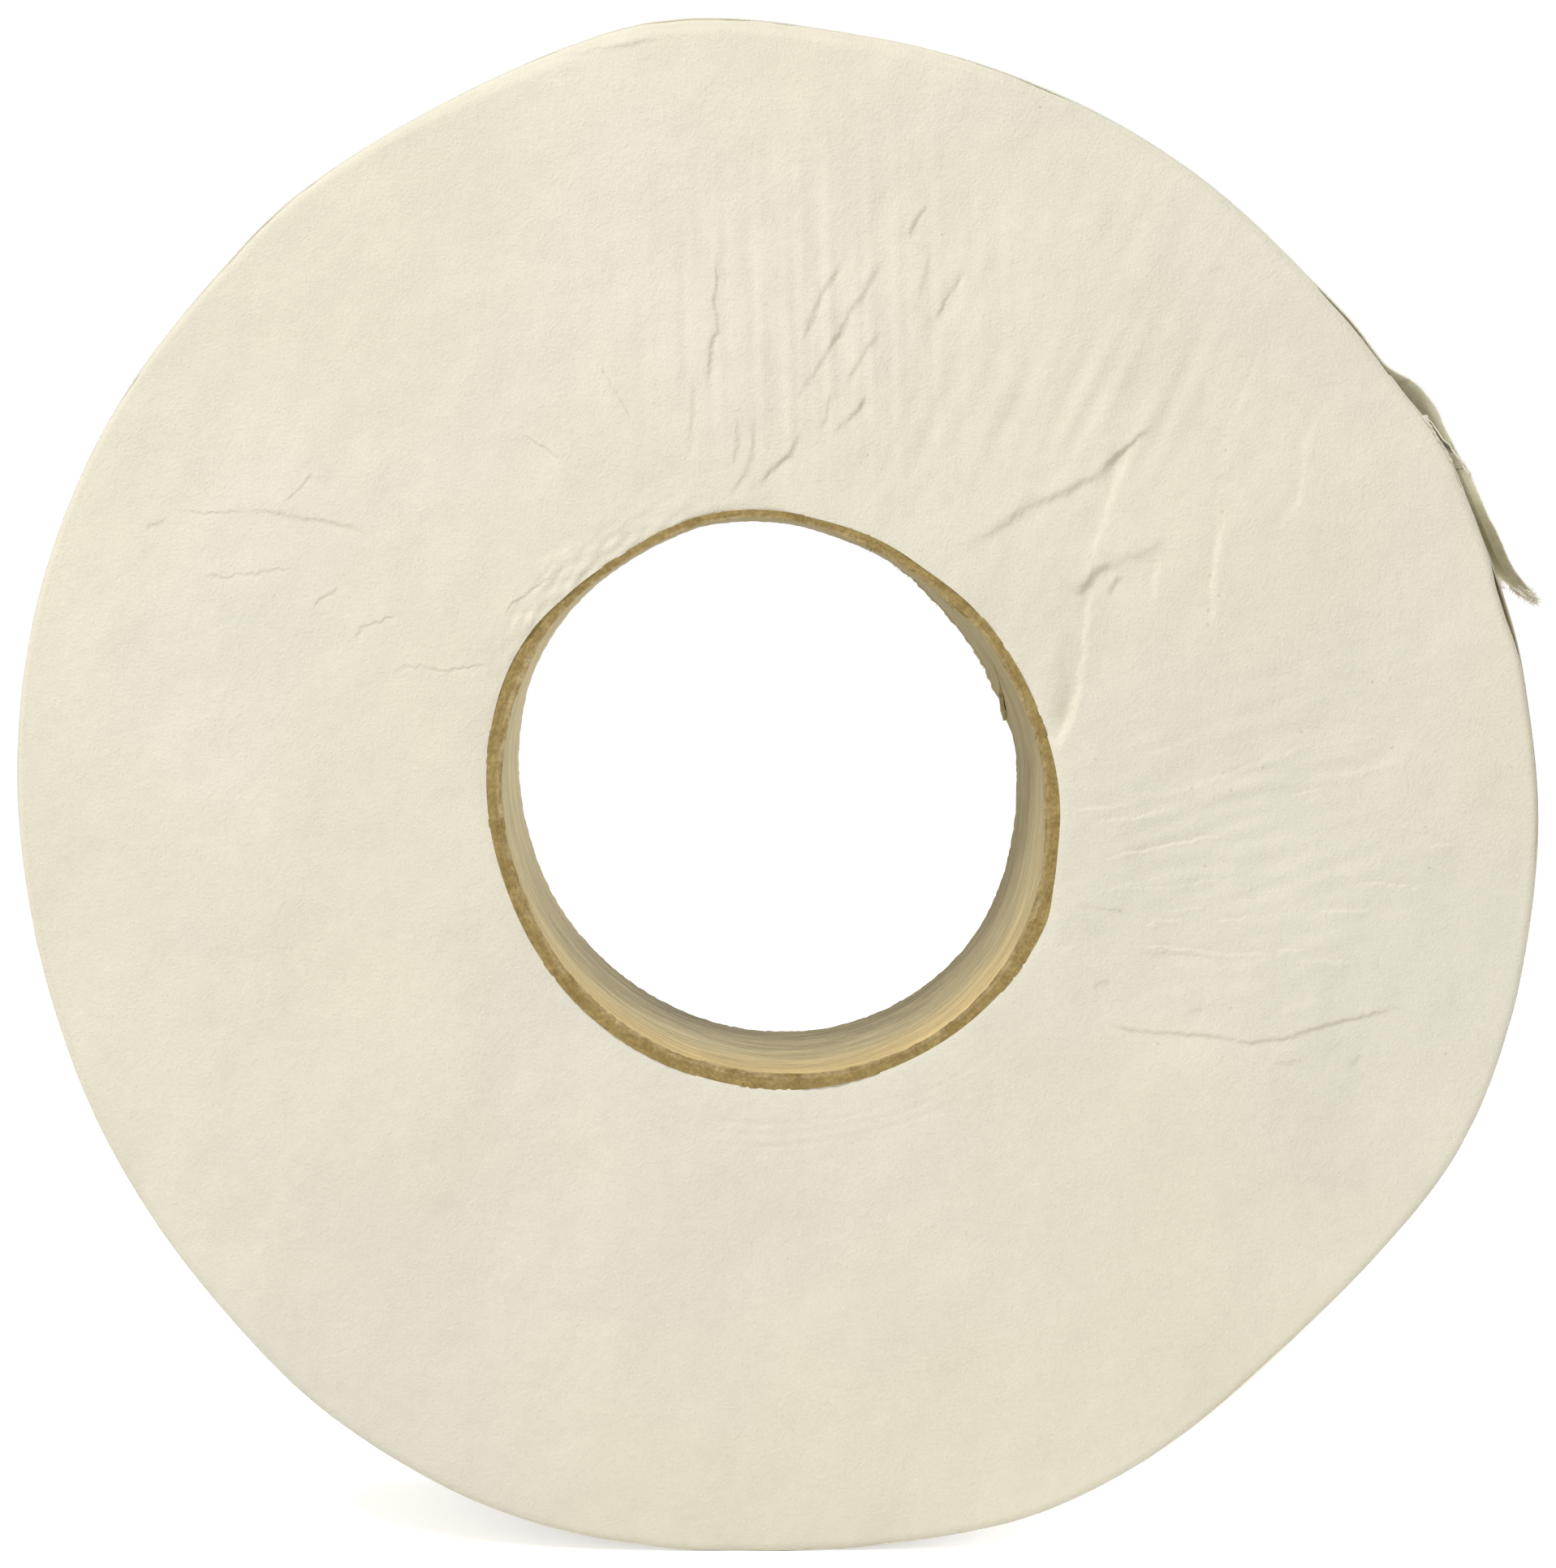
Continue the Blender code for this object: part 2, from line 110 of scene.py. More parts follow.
# The folds: their kind, strength and line, in millimetres from the axis
FOLDS = (
    # Upright folds over the bore
    ("crease", 1.1, (
        (-7.6, 76.9), (-7.7, 72.8), (-8.1, 69.0),
        (-7.7, 65.0), (-8.5, 63.1), (-9.1, 55.3),
    )),
    ("crease", 0.8, ((-11.0, 59.6), (-11.1, 54.7), (-11.4, 49.6), (-11.5, 47.1))),
    ("crease", 0.7, ((-4.8, 53.4), (-5.2, 48.4), (-5.4, 45.9))),
    ("crease", 0.75, ((-2.6, 54.3), (-2.9, 48.4), (-3.9, 45.3), (-5.4, 43.5), (-6.7, 41.9))),
    ("crease", 0.95, ((9.6, 75.3), (8.5, 72.6), (6.7, 70.1), (5.7, 67.6), (4.5, 64.7), (3.7, 62.8))),
    ("soft", 0.7, ((16.4, 86.0), (14.9, 83.4), (13.6, 81.0), (12.4, 78.4), (11.1, 76.6))),
    ("crease", 1.0, (
        (15.7, 75.8), (12.6, 70.7), (9.5, 65.8), (8.8, 64.2),
        (6.0, 59.8), (2.9, 55.5), (2.0, 54.2),
    )),
    ("crease", 1.2, ((4.2, 51.8), (3.0, 49.6), (1.8, 47.7), (0.2, 46.5), (-1.1, 44.9), (-2.4, 43.2))),
    ("crease", 1.05, ((21.2, 82.5), (19.9, 80.6), (19.0, 79.1), (18.5, 77.2))),
    ("crease", 0.6, ((21.6, 76.0), (21.0, 73.6), (20.4, 71.0), (19.7, 69.1))),
    ("crease", 0.95, ((26.0, 73.7), (24.7, 71.1), (23.8, 69.2), (22.8, 67.4), (21.9, 65.8))),
    ("crease", 0.8, ((14.9, 65.6), (13.6, 63.4), (12.1, 61.5), (11.2, 59.9), (10.2, 57.1))),
    ("crease", 0.8, ((8.0, 57.0), (7.4, 54.4), (6.6, 51.2))),
    ("crease", 1.2, ((13.0, 56.3), (11.5, 54.1), (9.7, 52.2), (8.0, 50.7))),
    ("soft", 0.7, ((19.5, 56.8), (18.2, 54.4), (17.3, 52.5))),
    ("soft", 0.5, ((32.6, 51.1), (30.4, 46.8), (28.3, 41.8))),
    ("soft", 0.5, ((-2.0, 70.0), (-3.2, 64.0), (-3.6, 58.0))),
    # A brownish stain
    ("stain_and_shade", 0.9, ((20.5, 45.5), (23.0, 43.0), (25.0, 40.5))),
    # The large fold up and right of the bore, the kink under it and the ridge down to the core
    ("hollow", 1.0, (
        (52.2, 51.4), (48.6, 49.3), (45.8, 45.9), (41.2, 43.5),
        (35.1, 40.7), (28.3, 36.4), (25.0, 34.6),
    )),
    ("crease", 1.1, ((52.6, 51.8), (50.0, 50.4), (47.3, 47.9), (44.6, 45.4))),
    ("ridge", 0.8, ((48.4, 49.0), (47.1, 46.6), (45.6, 42.6), (44.4, 38.8), (43.5, 35.7), (43.2, 33.5))),
    ("hollow", 0.7, ((55.3, 36.7), (52.8, 35.5), (50.3, 34.2), (47.9, 33.3), (44.7, 32.1))),
    ("hollow", 1.5, ((47.0, 33.3), (44.8, 32.2), (43.7, 31.0), (41.4, 28.3))),
    ("ridge", 0.9, (
        (45.2, 31.9), (42.8, 29.5), (42.0, 23.9), (41.8, 20.2),
        (40.9, 14.7), (39.1, 9.7), (37.9, 7.4),
    )),
    ("ridge", 1.3, ((41.9, 18.0), (40.9, 14.7), (40.0, 12.2), (38.5, 8.4), (37.7, 6.8))),
    # Painted shade, with somewhat dirtier paper, between the core and the ridge
    ("stain_and_shade", 1.5, ((40.6, 26.0), (40.2, 20.0), (39.2, 14.0), (38.4, 10.0))),
    ("crease", 0.9, ((46.0, 28.5), (46.4, 29.2), (47.6, 31.0), (48.0, 31.6))),
    ("ridge", 0.6, ((52.4, 34.3), (51.8, 31.3), (51.5, 27.6))),
    ("ridge", 0.3, ((67.2, 64.8), (64.0, 57.1), (61.2, 51.0), (61.5, 48.8), (60.6, 44.8))),
    ("ridge", 0.75, ((61.4, 42.0), (60.5, 36.8), (59.7, 31.9), (59.6, 27.0), (59.2, 23.4))),
    ("soft", 0.6, ((59.9, 44.4), (61.2, 42.4))),
    ("ridge", 0.45, (
        (74.2, 55.0), (72.2, 48.8), (72.0, 45.0),
        (71.4, 42.0), (69.3, 39.2), (67.4, 37.6),
    )),
    # Soft folds right of the bore
    ("ridge", 0.5, (
        (49.3, 1.0), (55.6, 2.7), (60.0, 3.9), (68.1, 6.8),
        (72.1, 8.5), (77.0, 9.3), (85.0, 10.8),
    )),
    ("ridge", 0.4, ((51.0, 7.7), (55.5, 8.8), (58.8, 9.9))),
    ("ridge", 0.4, ((76.5, 4.2), (80.6, 5.4), (83.8, 6.3), (87.4, 7.0))),
    ("ridge", 0.35, ((44.7, -11.1), (48.8, -10.5), (52.0, -9.8), (57.9, -8.6))),
    ("pleat", 0.7, ((40.3, -0.9), (43.0, -0.7), (45.7, -0.4), (49.6, 0.0))),
    ("pleat", 1.0, ((43.5, -3.5), (45.7, -2.3), (50.2, -2.0), (52.4, -1.3), (55.4, -0.4))),
    ("pleat", 1.2, ((44.8, -8.1), (47.5, -7.3), (53.8, -6.0), (56.9, -5.3), (60.0, -4.8), (63.7, -4.2))),
    ("pleat", 0.7, ((70.8, 1.1), (73.5, 1.6), (75.7, 1.7), (77.6, 2.5))),
    ("pleat", 0.7, ((47.5, -11.6), (54.7, -11.7), (57.8, -11.4), (59.6, -10.7), (65.4, -10.7))),
    ("crease", 0.6, ((41.3, -13.9), (44.4, -14.5), (48.9, -15.1))),
    ("pleat", 0.9, ((51.0, -17.3), (52.9, -16.2), (55.1, -16.5), (57.5, -16.2))),
    ("pleat", 0.8, ((54.6, -15.1), (57.3, -14.7), (60.0, -14.3))),
    ("pleat", 0.7, ((60.5, -16.6), (63.2, -16.3), (66.8, -15.7))),
    ("pleat", 0.6, ((63.8, -13.5), (65.4, -13.4), (67.6, -13.8))),
    ("pleat", 1.0, ((74.6, -15.0), (79.3, -14.9), (83.4, -15.0))),
    ("pleat", 0.6, ((85.6, -15.2), (89.1, -15.3), (91.8, -15.9))),
    ("pleat", 1.0, ((80.9, -11.0), (84.2, -11.1), (86.9, -11.6), (89.1, -11.7), (91.0, -11.3))),
    ("pleat", 0.9, ((90.3, -6.2), (91.8, -5.7), (94.5, -5.8))),
    ("pleat", 1.2, (
        (49.7, -19.6), (52.4, -19.9), (57.8, -20.3),
        (62.7, -21.0), (66.3, -20.9), (70.9, -21.0),
    )),
    ("crease", 0.5, ((50.0, -20.7), (54.5, -20.9), (57.0, -20.9), (62.5, -21.6))),
    ("pleat", 0.9, ((69.5, -20.6), (71.7, -20.5), (75.0, -20.1))),
    ("pleat", 0.8, ((72.0, -22.0), (75.7, -21.9), (78.4, -22.0), (81.2, -22.2))),
    ("ridge", 0.4, ((69.5, -28.2), (72.1, -27.4), (75.0, -26.5))),
    ("crease", 1.0, (
        (45.0, -30.2), (49.3, -31.5), (52.4, -31.9),
        (58.7, -32.2), (61.8, -32.5), (64.5, -33.2),
    )),
    ("crease", 1.0, (
        (60.0, -32.3), (66.3, -33.3), (71.2, -32.6), (75.7, -31.1),
        (82.0, -29.7), (87.3, -28.4), (88.9, -27.1),
    )),
    ("crease", 0.6, ((68.8, -36.0), (71.7, -36.2), (74.0, -35.8))),
    ("crease", 0.6, ((80.3, -36.8), (81.5, -34.8))),
    ("crease", 0.6, ((56.4, -29.5), (58.2, -28.8), (60.0, -28.5))),
    ("crease", 0.5, ((44.0, -25.6), (47.0, -24.7))),
    ("ridge", 0.4, ((38.6, -19.1), (41.7, -19.7), (43.9, -21.0), (47.4, -22.7))),
    # Crinkles left of the bore
    ("crinkle", 1.0, ((-86.4, 37.4), (-85.2, 38.6), (-83.2, 39.2))),
    ("crinkle", 1.0, ((-80.9, 39.4), (-80.3, 40.6), (-77.6, 40.0), (-75.2, 40.1), (-72.1, 40.5))),
    ("crease", 0.7, (
        (-74.0, 40.4), (-68.9, 40.2), (-65.8, 39.4),
        (-62.6, 39.1), (-57.9, 38.2), (-54.4, 36.4),
    )),
    ("soft", 0.5, ((-72.0, 41.0), (-65.8, 40.0), (-58.0, 38.8))),
    ("stain_and_shade", 0.5, ((-82.0, 46.5), (-77.0, 44.8), (-72.0, 43.0))),
    ("hairline", 1.3, ((-67.4, 41.2), (-65.0, 43.4), (-63.0, 45.9))),
    ("crinkle", 1.0, ((-79.1, 31.4), (-75.2, 31.4), (-71.3, 31.9), (-65.4, 32.5))),
    ("crinkle", 1.0, ((-63.4, 26.9), (-61.0, 29.2), (-59.5, 30.0))),
    ("crinkle", 1.0, ((-57.9, 22.1), (-56.7, 24.5), (-51.6, 26.1))),
    ("crinkle", 1.0, ((-53.2, 17.8), (-50.8, 18.9), (-45.3, 18.5), (-38.3, 19.3))),
    ("soft", 0.5, ((-56.3, 37.5), (-52.4, 34.3), (-48.5, 29.6), (-44.5, 26.5))),
    ("crinkle", 1.0, ((-37.6, 25.9), (-35.9, 27.8), (-31.2, 31.0), (-28.8, 32.5))),
    ("ridge", 0.6, ((-37.0, 25.6), (-35.2, 26.6), (-33.2, 27.2))),
    ("ridge", 0.5, ((-34.2, 33.2), (-29.4, 35.6), (-26.0, 37.4))),
    ("crinkle", 1.1, ((-34.7, 50.9), (-31.2, 48.9), (-29.2, 46.9))),
    ("crinkle", 1.0, ((-25.1, 61.9), (-21.6, 56.5), (-18.7, 51.4))),
    # An outer turn that lies a little over the next, at the top
    ("crease", 0.7, ((-30.5, 101.9), (-25.0, 103.0), (-19.5, 103.9), (-14.9, 104.7))),
    # Faint broad hollows under the bore
    ("soft", 0.4, ((-51.0, -51.8), (-34.1, -33.7))),
    ("soft", 0.35, ((-13.9, -46.2), (-15.6, -63.2))),
)
# The way that light falls across the face: folds step down on the side that it points to
LIGHT_WAY = (0.6, -0.8)
# Dark specks on the front face, in millimetres from the axis, and their width and strength
SPECKS = (
    (62.1, 50.7), (62.2, 48.7), (61.8, 40.2), (60.2, 31.5), (61.4, 28.7), (60.0, 26.7), (59.9, 24.7),
    (59.8, -8.7), (44.4, 6.1), (63.3, 1.8), (67.7, 5.0), (53.4, -33.4), (93.4, -34.9), (90.2, -3.3),
    (90.9, -9.0), (102.1, 5.0), (48.0, -15.0), (63.4, -28.4), (73.0, 9.9), (85.5, 7.7), (57.8, 2.1),
)
SPECK_WIDTH = 0.2
SPECK_SHADE = 4.5
# How close to a fold the face is cut finer, in millimetres, first into four and then into sixteen
FINE_REACHES = (1.5, 0.8)

# Waves of the two faces: height and length, in millimetres, and seed
FRONT_WAVES = ((0.14, 46.0, 3), (0.05, 13.0, 4))
BACK_WAVES = ((0.22, 46.0, 13), (0.05, 13.0, 14))
# Patches of fine wrinkles on the front face: middle and reach, height and length of the waves, the two
# ways (x, z, stretch) that they are counted along, and seed
WRINKLES = (
    ((6.0, 68.0), (26.0, 22.0), 0.075, 2.6, ((1.0, 0.05, 1.0), (0.0, 1.0, 14.0)), 5),
    ((42.0, 56.0), (24.0, 22.0), 0.06, 4.2, ((0.9, -0.43, 1.0), (0.43, 0.9, 9.0)), 10),
    ((66.0, -4.0), (20.0, 20.0), 0.06, 3.2, ((1.0, 0.0, 6.0), (-0.2, 1.0, 1.0)), 6),
)
# Wrinkles beside the core: angle, reach in degrees, reach from the core and height
CORE_WRINKLES = (128.0, 22.0, 4.5, 0.09)
# Lines round the core below it: angle and reach in degrees, width, how they wander and how uneven they
# are, as height, length and seed, and distance and depth of each
LINES_AT = (272.0, 34.0)
LINE_WIDTH = 0.35
LINE_WANDER = (0.5, 40.0, 8)
LINE_UNEVEN = (0.6, 9.0, 9)
LINES = ((5.2, 0.08), (6.6, 0.06), (8.3, 0.08), (9.4, 0.05))
# Folds of the back face: number, ranges of their start, length, depth, lean and width, length of their
# ends, and width of the dirt and painted shade in them
BACK_FOLDS = 34
BACK_FOLD_RANGES = ((42.0, 70.0), (14.0, 34.0), (0.08, 0.30), (-0.5, 0.5), (0.8, 1.8))
BACK_FOLD_ENDS = 6.0
BACK_FOLD_DIRT_AND_SHADE = 0.4

# The winding: depths of its rows down the walls, in millimetres, how far behind the face its relief
# goes, how far it laps into the core, how deep and wide it dips towards the core, and how much its rows
# crowd towards the core and the rim
WALL_DEPTHS = (2.5, 0.8, 0.25)
RELIEF_DEPTH = 3.0
CORE_LAP = 0.12
CORE_DIP = (0.2, 0.8)
ROW_CROWDING = 0.3

# The core by angle, in mm: how far its cut front edge departs from the solid, outside and in the bore,
# and how far its bore does behind that
RING_OUTSIDE = (
    (0, -0.3), (24, -0.5), (45, -0.2), (56, -0.4), (68, 0.0), (90, 0.15), (100, 0.35), (112, -0.2),
    (121, -0.8), (134, -0.6), (144, 0.0), (152, 0.15), (168, -0.2), (196, -0.5), (216, -0.1), (240, 0.1),
    (258, -0.1), (296, -0.5), (312, -0.25), (328, 0.3), (336, 0.55), (344, -0.1), (352, -0.4),
)
RING_BORE = (
    (0, -0.7), (9, -0.3), (24, -0.35), (40, 0.0), (48, -0.3), (57, 0.0), (72, 0.4), (80, 0.9), (96, 1.25),
    (104, 1.15), (112, 0.6), (121, 0.1), (144, 0.0), (152, -0.35), (168, -0.6), (184, -0.7), (200, -0.8),
    (209, -0.5), (222, -0.2), (245, -0.2), (258, -0.5), (272, -0.6), (290, -0.45), (306, -0.15), (328, -0.1),
    (346, -0.4),
)
DEEP_BORE = (
    (0, -0.35), (8, 0.1), (24, 0.2), (40, 0.4), (48, 0.55), (56, 1.1), (72, 1.15), (88, 1.55), (104, 1.65),
    (112, 1.2), (122, 0.8), (152, 0.75), (162, 0.4), (176, 0.0), (192, -0.2), (215, 0.0), (320, 0.0),
    (336, -0.3), (346, -0.5),
)
# How far behind the cut edge its own shape goes, and the least thickness of the core
RING_REACH = 7.0
RING_LEAST = 1.1

# The plies: steps round and across them, how much these crowd towards the edges, how far the seams slant
# over the width, in degrees, how far a lapped end reaches and how much it stands up, and its curl, as
# reach in degrees and least and most height, with the place and reach of the most, as shares of the width
PLY_GRID = (480, 34)
PLY_CROWDING = 0.1
PLY_TWIST = -33.0
LAP_REACH = 14.0
LAP_RISE = 0.14
LAP_CURL = (2.6, 0.05, 0.6)
CURL_AT = (0.88, 0.12)
# Their edges, as height, length and seed: the lapped one, in degrees, the cut ones all round and in the
# bore, and where the bore's far edge is frayed, with the arc of that and how it fades at its ends, in
# degrees, and the radius that lengths are counted at
LAP_EDGE = (1.0, 2.0, 51)
CUT_EDGE = (0.3, 0.5, 52)
CUT_INSET = 0.1
BORE_EDGE = (0.25, 0.6, 56)
FRAYED_EDGE = (0.7, 0.9, 57)
FRAYED_ARC = (10.0, 62.0)
FRAYED_ENDS = 8.0
BORE_RADIUS = 38.0

# The rim by angle past the line where the tail lifts: air under the loose turn, how far the paper stands
# outside the solid, how wide and how deep the face rounds off, and how far the loose turn's edge stands
# back, all in millimetres, and how much shade is painted along the rim
RIM_AIR = (
    (0, 0.15), (2, 0.25), (4, 0.3), (6, 0.25), (7.5, 0.1), (8.5, -0.1), (334, -0.1), (336.5, 0.2),
    (338.5, 0.45), (340.5, 0.4), (342.5, 0.0), (344, -0.1), (360, -0.1),
)
RIM_SWELL = (
    (0, 0.0), (4, 0.3), (9, 0.1), (14, 0.0), (168, 0.0), (188, 0.25), (196, 0.5), (206, 0.3), (228, 0.05),
    (240, 0.0), (258, 0.3), (272, 0.42), (288, 0.42), (296, 0.75), (320, 0.68), (331, 0.5), (337, 0.8),
    (346, 0.8), (351, 0.95), (354, 0.7), (357, 0.25), (360, 0.0),
)
RIM_ROUND = ((0, 0.8), (30, 1.2), (48, 2.2), (70, 2.4), (88, 1.2), (130, 0.8), (360, 0.8))
RIM_DROP = ((0, 0.3), (30, 0.5), (48, 1.1), (70, 1.2), (88, 0.6), (130, 0.35), (360, 0.3))
TURN_BACK = ((0, 0.5), (30, 0.5), (52, 1.2), (75, 1.2), (95, 0.5), (360, 0.3))
RIM_SHADE = ((0, 0.0), (310, 0.0), (325, 2.5), (340, 2.5), (348, 0.0), (360, 0.0))
# Degrees by which the loose turn stops short of a whole one
TURN_SHORT = 1.2

# The tail by length past that line, in millimetres: how far its front edge stands back, how far that
# edge flares out from the roll, and how far the tail sinks in behind the edge
TAIL_BACK = ((-5, 0.5), (14, 0.45), (26, 0.4), (45, 0.3))
TAIL_FLARE = (
    (-4, 0.05), (8, 0.1), (11, 0.35), (14, 0.15), (18, 0.1), (21, 0.4), (25, 0.35), (30, 0.5), (33, 0.3),
    (36, -0.2), (38.5, -0.4), (42, -0.3),
)
TAIL_SINK = ((22, 0.0), (27, 0.1), (31, 0.35), (36, 0.9), (39, 1.1), (42, 0.8))
# How far before that line the tail's first piece starts, how far behind the edge the flare and the sink
# reach, and half the length over which a fold bends
TAIL_LEAD = 4.0
FLARE_REACH = 2.6
SINK_REACH = 18.0
FOLD_REACH = 1.2
# The loose paper's path: degrees between places on the roll, millimetres between those of the smooth
# line, and how many of these it is smoothed over
PATH_TURN = 0.4
PATH_STEP = 0.2
PATH_WINDOW = 9
# Its edges, as height, length and seed: front edge on the roll and on the tail, and far edge, with how
# far that stands back
TURN_EDGE = (0.25, 3.0, 41)
TAIL_EDGE = (0.9, 1.6, 42)
FAR_EDGE = (0.3, 4.0, 43)
FAR_BACK = 0.3
# Its waves, all along and where it hangs free, as height, length and seed, where the free ones start and
# in what length they grow, the same for all of them, and the share of them that is left on the roll
PAPER_WAVE = (0.06, 17.0, 44)
FREE_WAVE = (0.12, 21.0, 45)
FREE_START = (1.0, 6.0)
WAVE_START = (-4.5, 4.0)
WAVE_ON_ROLL = 0.2
# Pale pulp on it, as strength and width, and where along the tail it starts and in what length it grows:
# in the crease behind the flared edge, on the edge, and at the torn end
CREASE_PULP = (0.45, 0.25, 28.0, 5.0)
EDGE_PULP = (0.35, 0.2, 22.0, 5.0)
END_PULP = (1.4, 0.9)
# Painted shade on it: where along the tail it starts and in what length it grows, how far behind the edge it
# goes on the outer and the inner side, its strength at the edge, and how much less it is behind that, from
# where and in what length; and its strength and depth on the roll
TAIL_SHADE_START = (19.0, 11.0)
TAIL_SHADE_DEPTHS = (8.0, 24.0)
TAIL_SHADE_STRENGTH = 0.9
TAIL_SHADE_FADE = (0.15, 1.4, 1.6)
TURN_SHADE = (0.3, 3.0)
# Its torn end, by the distance from its front edge: slant, as most and reach, raggedness, as length and
# seed, and waves
TEAR_SLANT = (2.0, 10.0)
TEAR_RAGGED = (2.0, 46)
TEAR_WAVE = (0.8, 30.0, 47)

# The sliver split off the tail, by length along the tail: steps along and across it, where it starts and
# how long it is, how its end slants, how wide it is and how it rises from the roll's edge to the tail's,
# its thickness, and its ragged edge and waves, as height, length and seed
LAYER_GRID = (60, 14)
LAYER_SPAN = (11.0, 9.6)
LAYER_SLANT = 0.5
LAYER_WIDTH = ((11, 2.4), (16, 2.4), (18, 0.5), (21, 0.3))
LAYER_RISE = ((11, -1.55), (13, -1.2), (15, -0.8), (17, -0.35), (19, 0.1), (21, 0.4))
LAYER_THICK = 0.14
LAYER_EDGE = (0.1, 0.8, 72)
LAYER_WAVE = (0.08, 2.0, 73)
# How far its far side curls up, from where along the tail and in what length
LAYER_CURL = (0.1, 15.0, 5.0)
LAYER_BACK = 0.05
# The ribbon torn off the rim: steps along and across it, degrees past the tail's root where it starts, its
# length in degrees, how far under the rim it is rooted, its width and the shares of its length over which
# it tapers, how far along it its end curls, and its waves, as height, length and seed
RIBBON_GRID = (60, 6)
RIBBON_SPAN = (5.0, 6.2)
RIBBON_ROOT = 0.25
RIBBON_WIDTH = 0.36
RIBBON_TAPERS = (0.04, 0.4)
RIBBON_CURL = 0.09
RIBBON_WAVE = (0.06, 1.5, 75)

# Fibres: sides, joints, thickness in millimetres, share of the length that the shortest have, how much
# they curl, and how much thinner each joint is than the one before
FIBRE_SIDES = 3
FIBRE_JOINTS = 4
FIBRE_THICK = (0.03, 0.07)
FIBRE_SHORTEST = 0.35
FIBRE_CURL = 0.35
FIBRE_TAPER = 0.82

# How fine the paper is built: first and last angle and steps of the winding's arcs, finer where there
# are folds, steps and rows of the loose turn, and step in millimetres and rows of the tail
FRONT_ARCS = ((-60.0, 180.0, 640), (180.0, 300.0, 190))
BACK_ARCS = ((0.0, 360.0, 640),)
TURN_GRID = (700, 18)
TAIL_STEP = 0.3
TAIL_ROWS = 90

# The stage: floor, and places and widths of the lamps
FLOOR_REACH = 3.0
FLOOR_DROP = 0.0002
KEY_LIGHT = ((-0.42, -0.62, 0.98), 0.3)
FILL_LIGHT = ((0.75, 0.62, 0.30), 0.4)

# Gloss of bare paper and board
PAPER_SPECULAR = 0.25
# Edges sharper than this are shaded sharp, and solids are read in slots of so many degrees
SHARP_ANGLE = 40.0
ANGLE_SLOT = 0.5
# Waves in an unevenness, and the sizes of the steps in a ragged edge
SWELL_WAVES = 14
RAGGED_SHARES = (1.0, 0.47, 0.21)
RAGGED_LEVELS = 4096


def knots(table, at):
    """Value at each place on the smooth line through (place, value) knots."""
    places, values = np.array(table, float).T
    at = np.asarray(at, float)
    grades = np.diff(values) / np.diff(places)
    product = grades[:-1] * grades[1:]
    level = np.zeros(len(product))
    np.divide(2.0 * product, grades[:-1] + grades[1:], out=level, where=product > 0.0)
    slopes = np.concatenate(((0.0,), level, (0.0,)))
    i = np.clip(np.searchsorted(places, at) - 1, 0, len(places) - 2)
    run = places[i + 1] - places[i]
    t = np.clip((at - places[i]) / run, 0.0, 1.0)
    rise = values[i] * (1 + 2 * t) * (1 - t) ** 2 + values[i + 1] * t * t * (3 - 2 * t)
    return rise + run * t * (1 - t) * (slopes[i] * (1 - t) - slopes[i + 1] * t)


def ring_knots(table, angle):
    """The same for knots that go all the way round."""
    before = tuple((place - 360.0, value) for place, value in table[-2:])
    after = tuple((place + 360.0, value) for place, value in table[:2])
    return knots((*before, *table, *after), np.asarray(angle) % 360.0)


def swell(x, z, length, seed):
    """Smooth unevenness of about unit height, with waves of about this length."""
    draw = np.random.default_rng(seed)
    total = np.zeros_like(x)
    for _ in range(SWELL_WAVES):
        heading, phase = draw.uniform(0.0, 2.0 * math.pi, 2)
        pace = 2.0 * math.pi / length * draw.uniform(0.6, 1.6)
        total += np.sin((x * math.cos(heading) + z * math.sin(heading)) * pace + phase)
    return total / math.sqrt(SWELL_WAVES / 2)


def waves(x, z, table):
    """Unevenness of several sizes, each with its height, length and seed."""
    return sum(height * swell(x, z, length, seed) for height, length, seed in table)


def ragged(along, length, seed):
    """Sharp unevenness along a torn edge, from 0 to about 1."""
    draw = np.random.default_rng(seed)
    total = np.zeros_like(along)
    for share in RAGGED_SHARES:
        at = along / (length * share) + draw.uniform(0.0, 100.0)
        levels = draw.uniform(0.0, 1.0, RAGGED_LEVELS)
        cell = np.floor(at).astype(int) % (RAGGED_LEVELS - 1)
        total += share * (levels[cell] + (levels[cell + 1] - levels[cell]) * (at - np.floor(at)))
    return total / sum(RAGGED_SHARES)


def torn_edge(along, edge):
    """Raggedness on both sides of an edge's line, from its height, length and seed."""
    height, length, seed = edge
    return height * (ragged(along, length, seed) - 0.5)


def ease(t):
    """A smooth rise from 0 to 1."""
    t = np.clip(t, 0.0, 1.0)
    return t * t * (3 - 2 * t)


def surface_by_angle(node, pick):
    """Angles about the axis, and the outermost or innermost radius of a node's surface at each."""
    points = np.array([vert.co - AXIS for vert in frame["nodes"][node].data.vertices])
    turned = np.degrees(np.arctan2(points[:, 2], points[:, 0])) % 360.0
    slot = np.round(turned / ANGLE_SLOT).astype(int) % round(360.0 / ANGLE_SLOT)
    radius = np.hypot(points[:, 0], points[:, 2])
    slots = np.unique(slot)
    return slots * ANGLE_SLOT, np.array([pick(radius[slot == held]) for held in slots])


CORE_OUTSIDE = surface_by_angle("core_outer_ply", np.max)
CORE_BORE = surface_by_angle("core_liner_ply", np.min)
RIM = surface_by_angle("outer_turn", np.max)
ROOT_ANGLE = math.degrees(math.atan2(HINGES["tail_peel"].z - AXIS.z, HINGES["tail_peel"].x - AXIS.x))


def past_root(angle):
    """Degrees from the line where the tail lifts, up to a whole turn."""
    return (np.asarray(angle) - ROOT_ANGLE) % 360.0


RIM_PLACES = past_root(RIM[0] + ANGLE_SLOT) - ANGLE_SLOT
RIM_ORDER = np.argsort(RIM_PLACES)


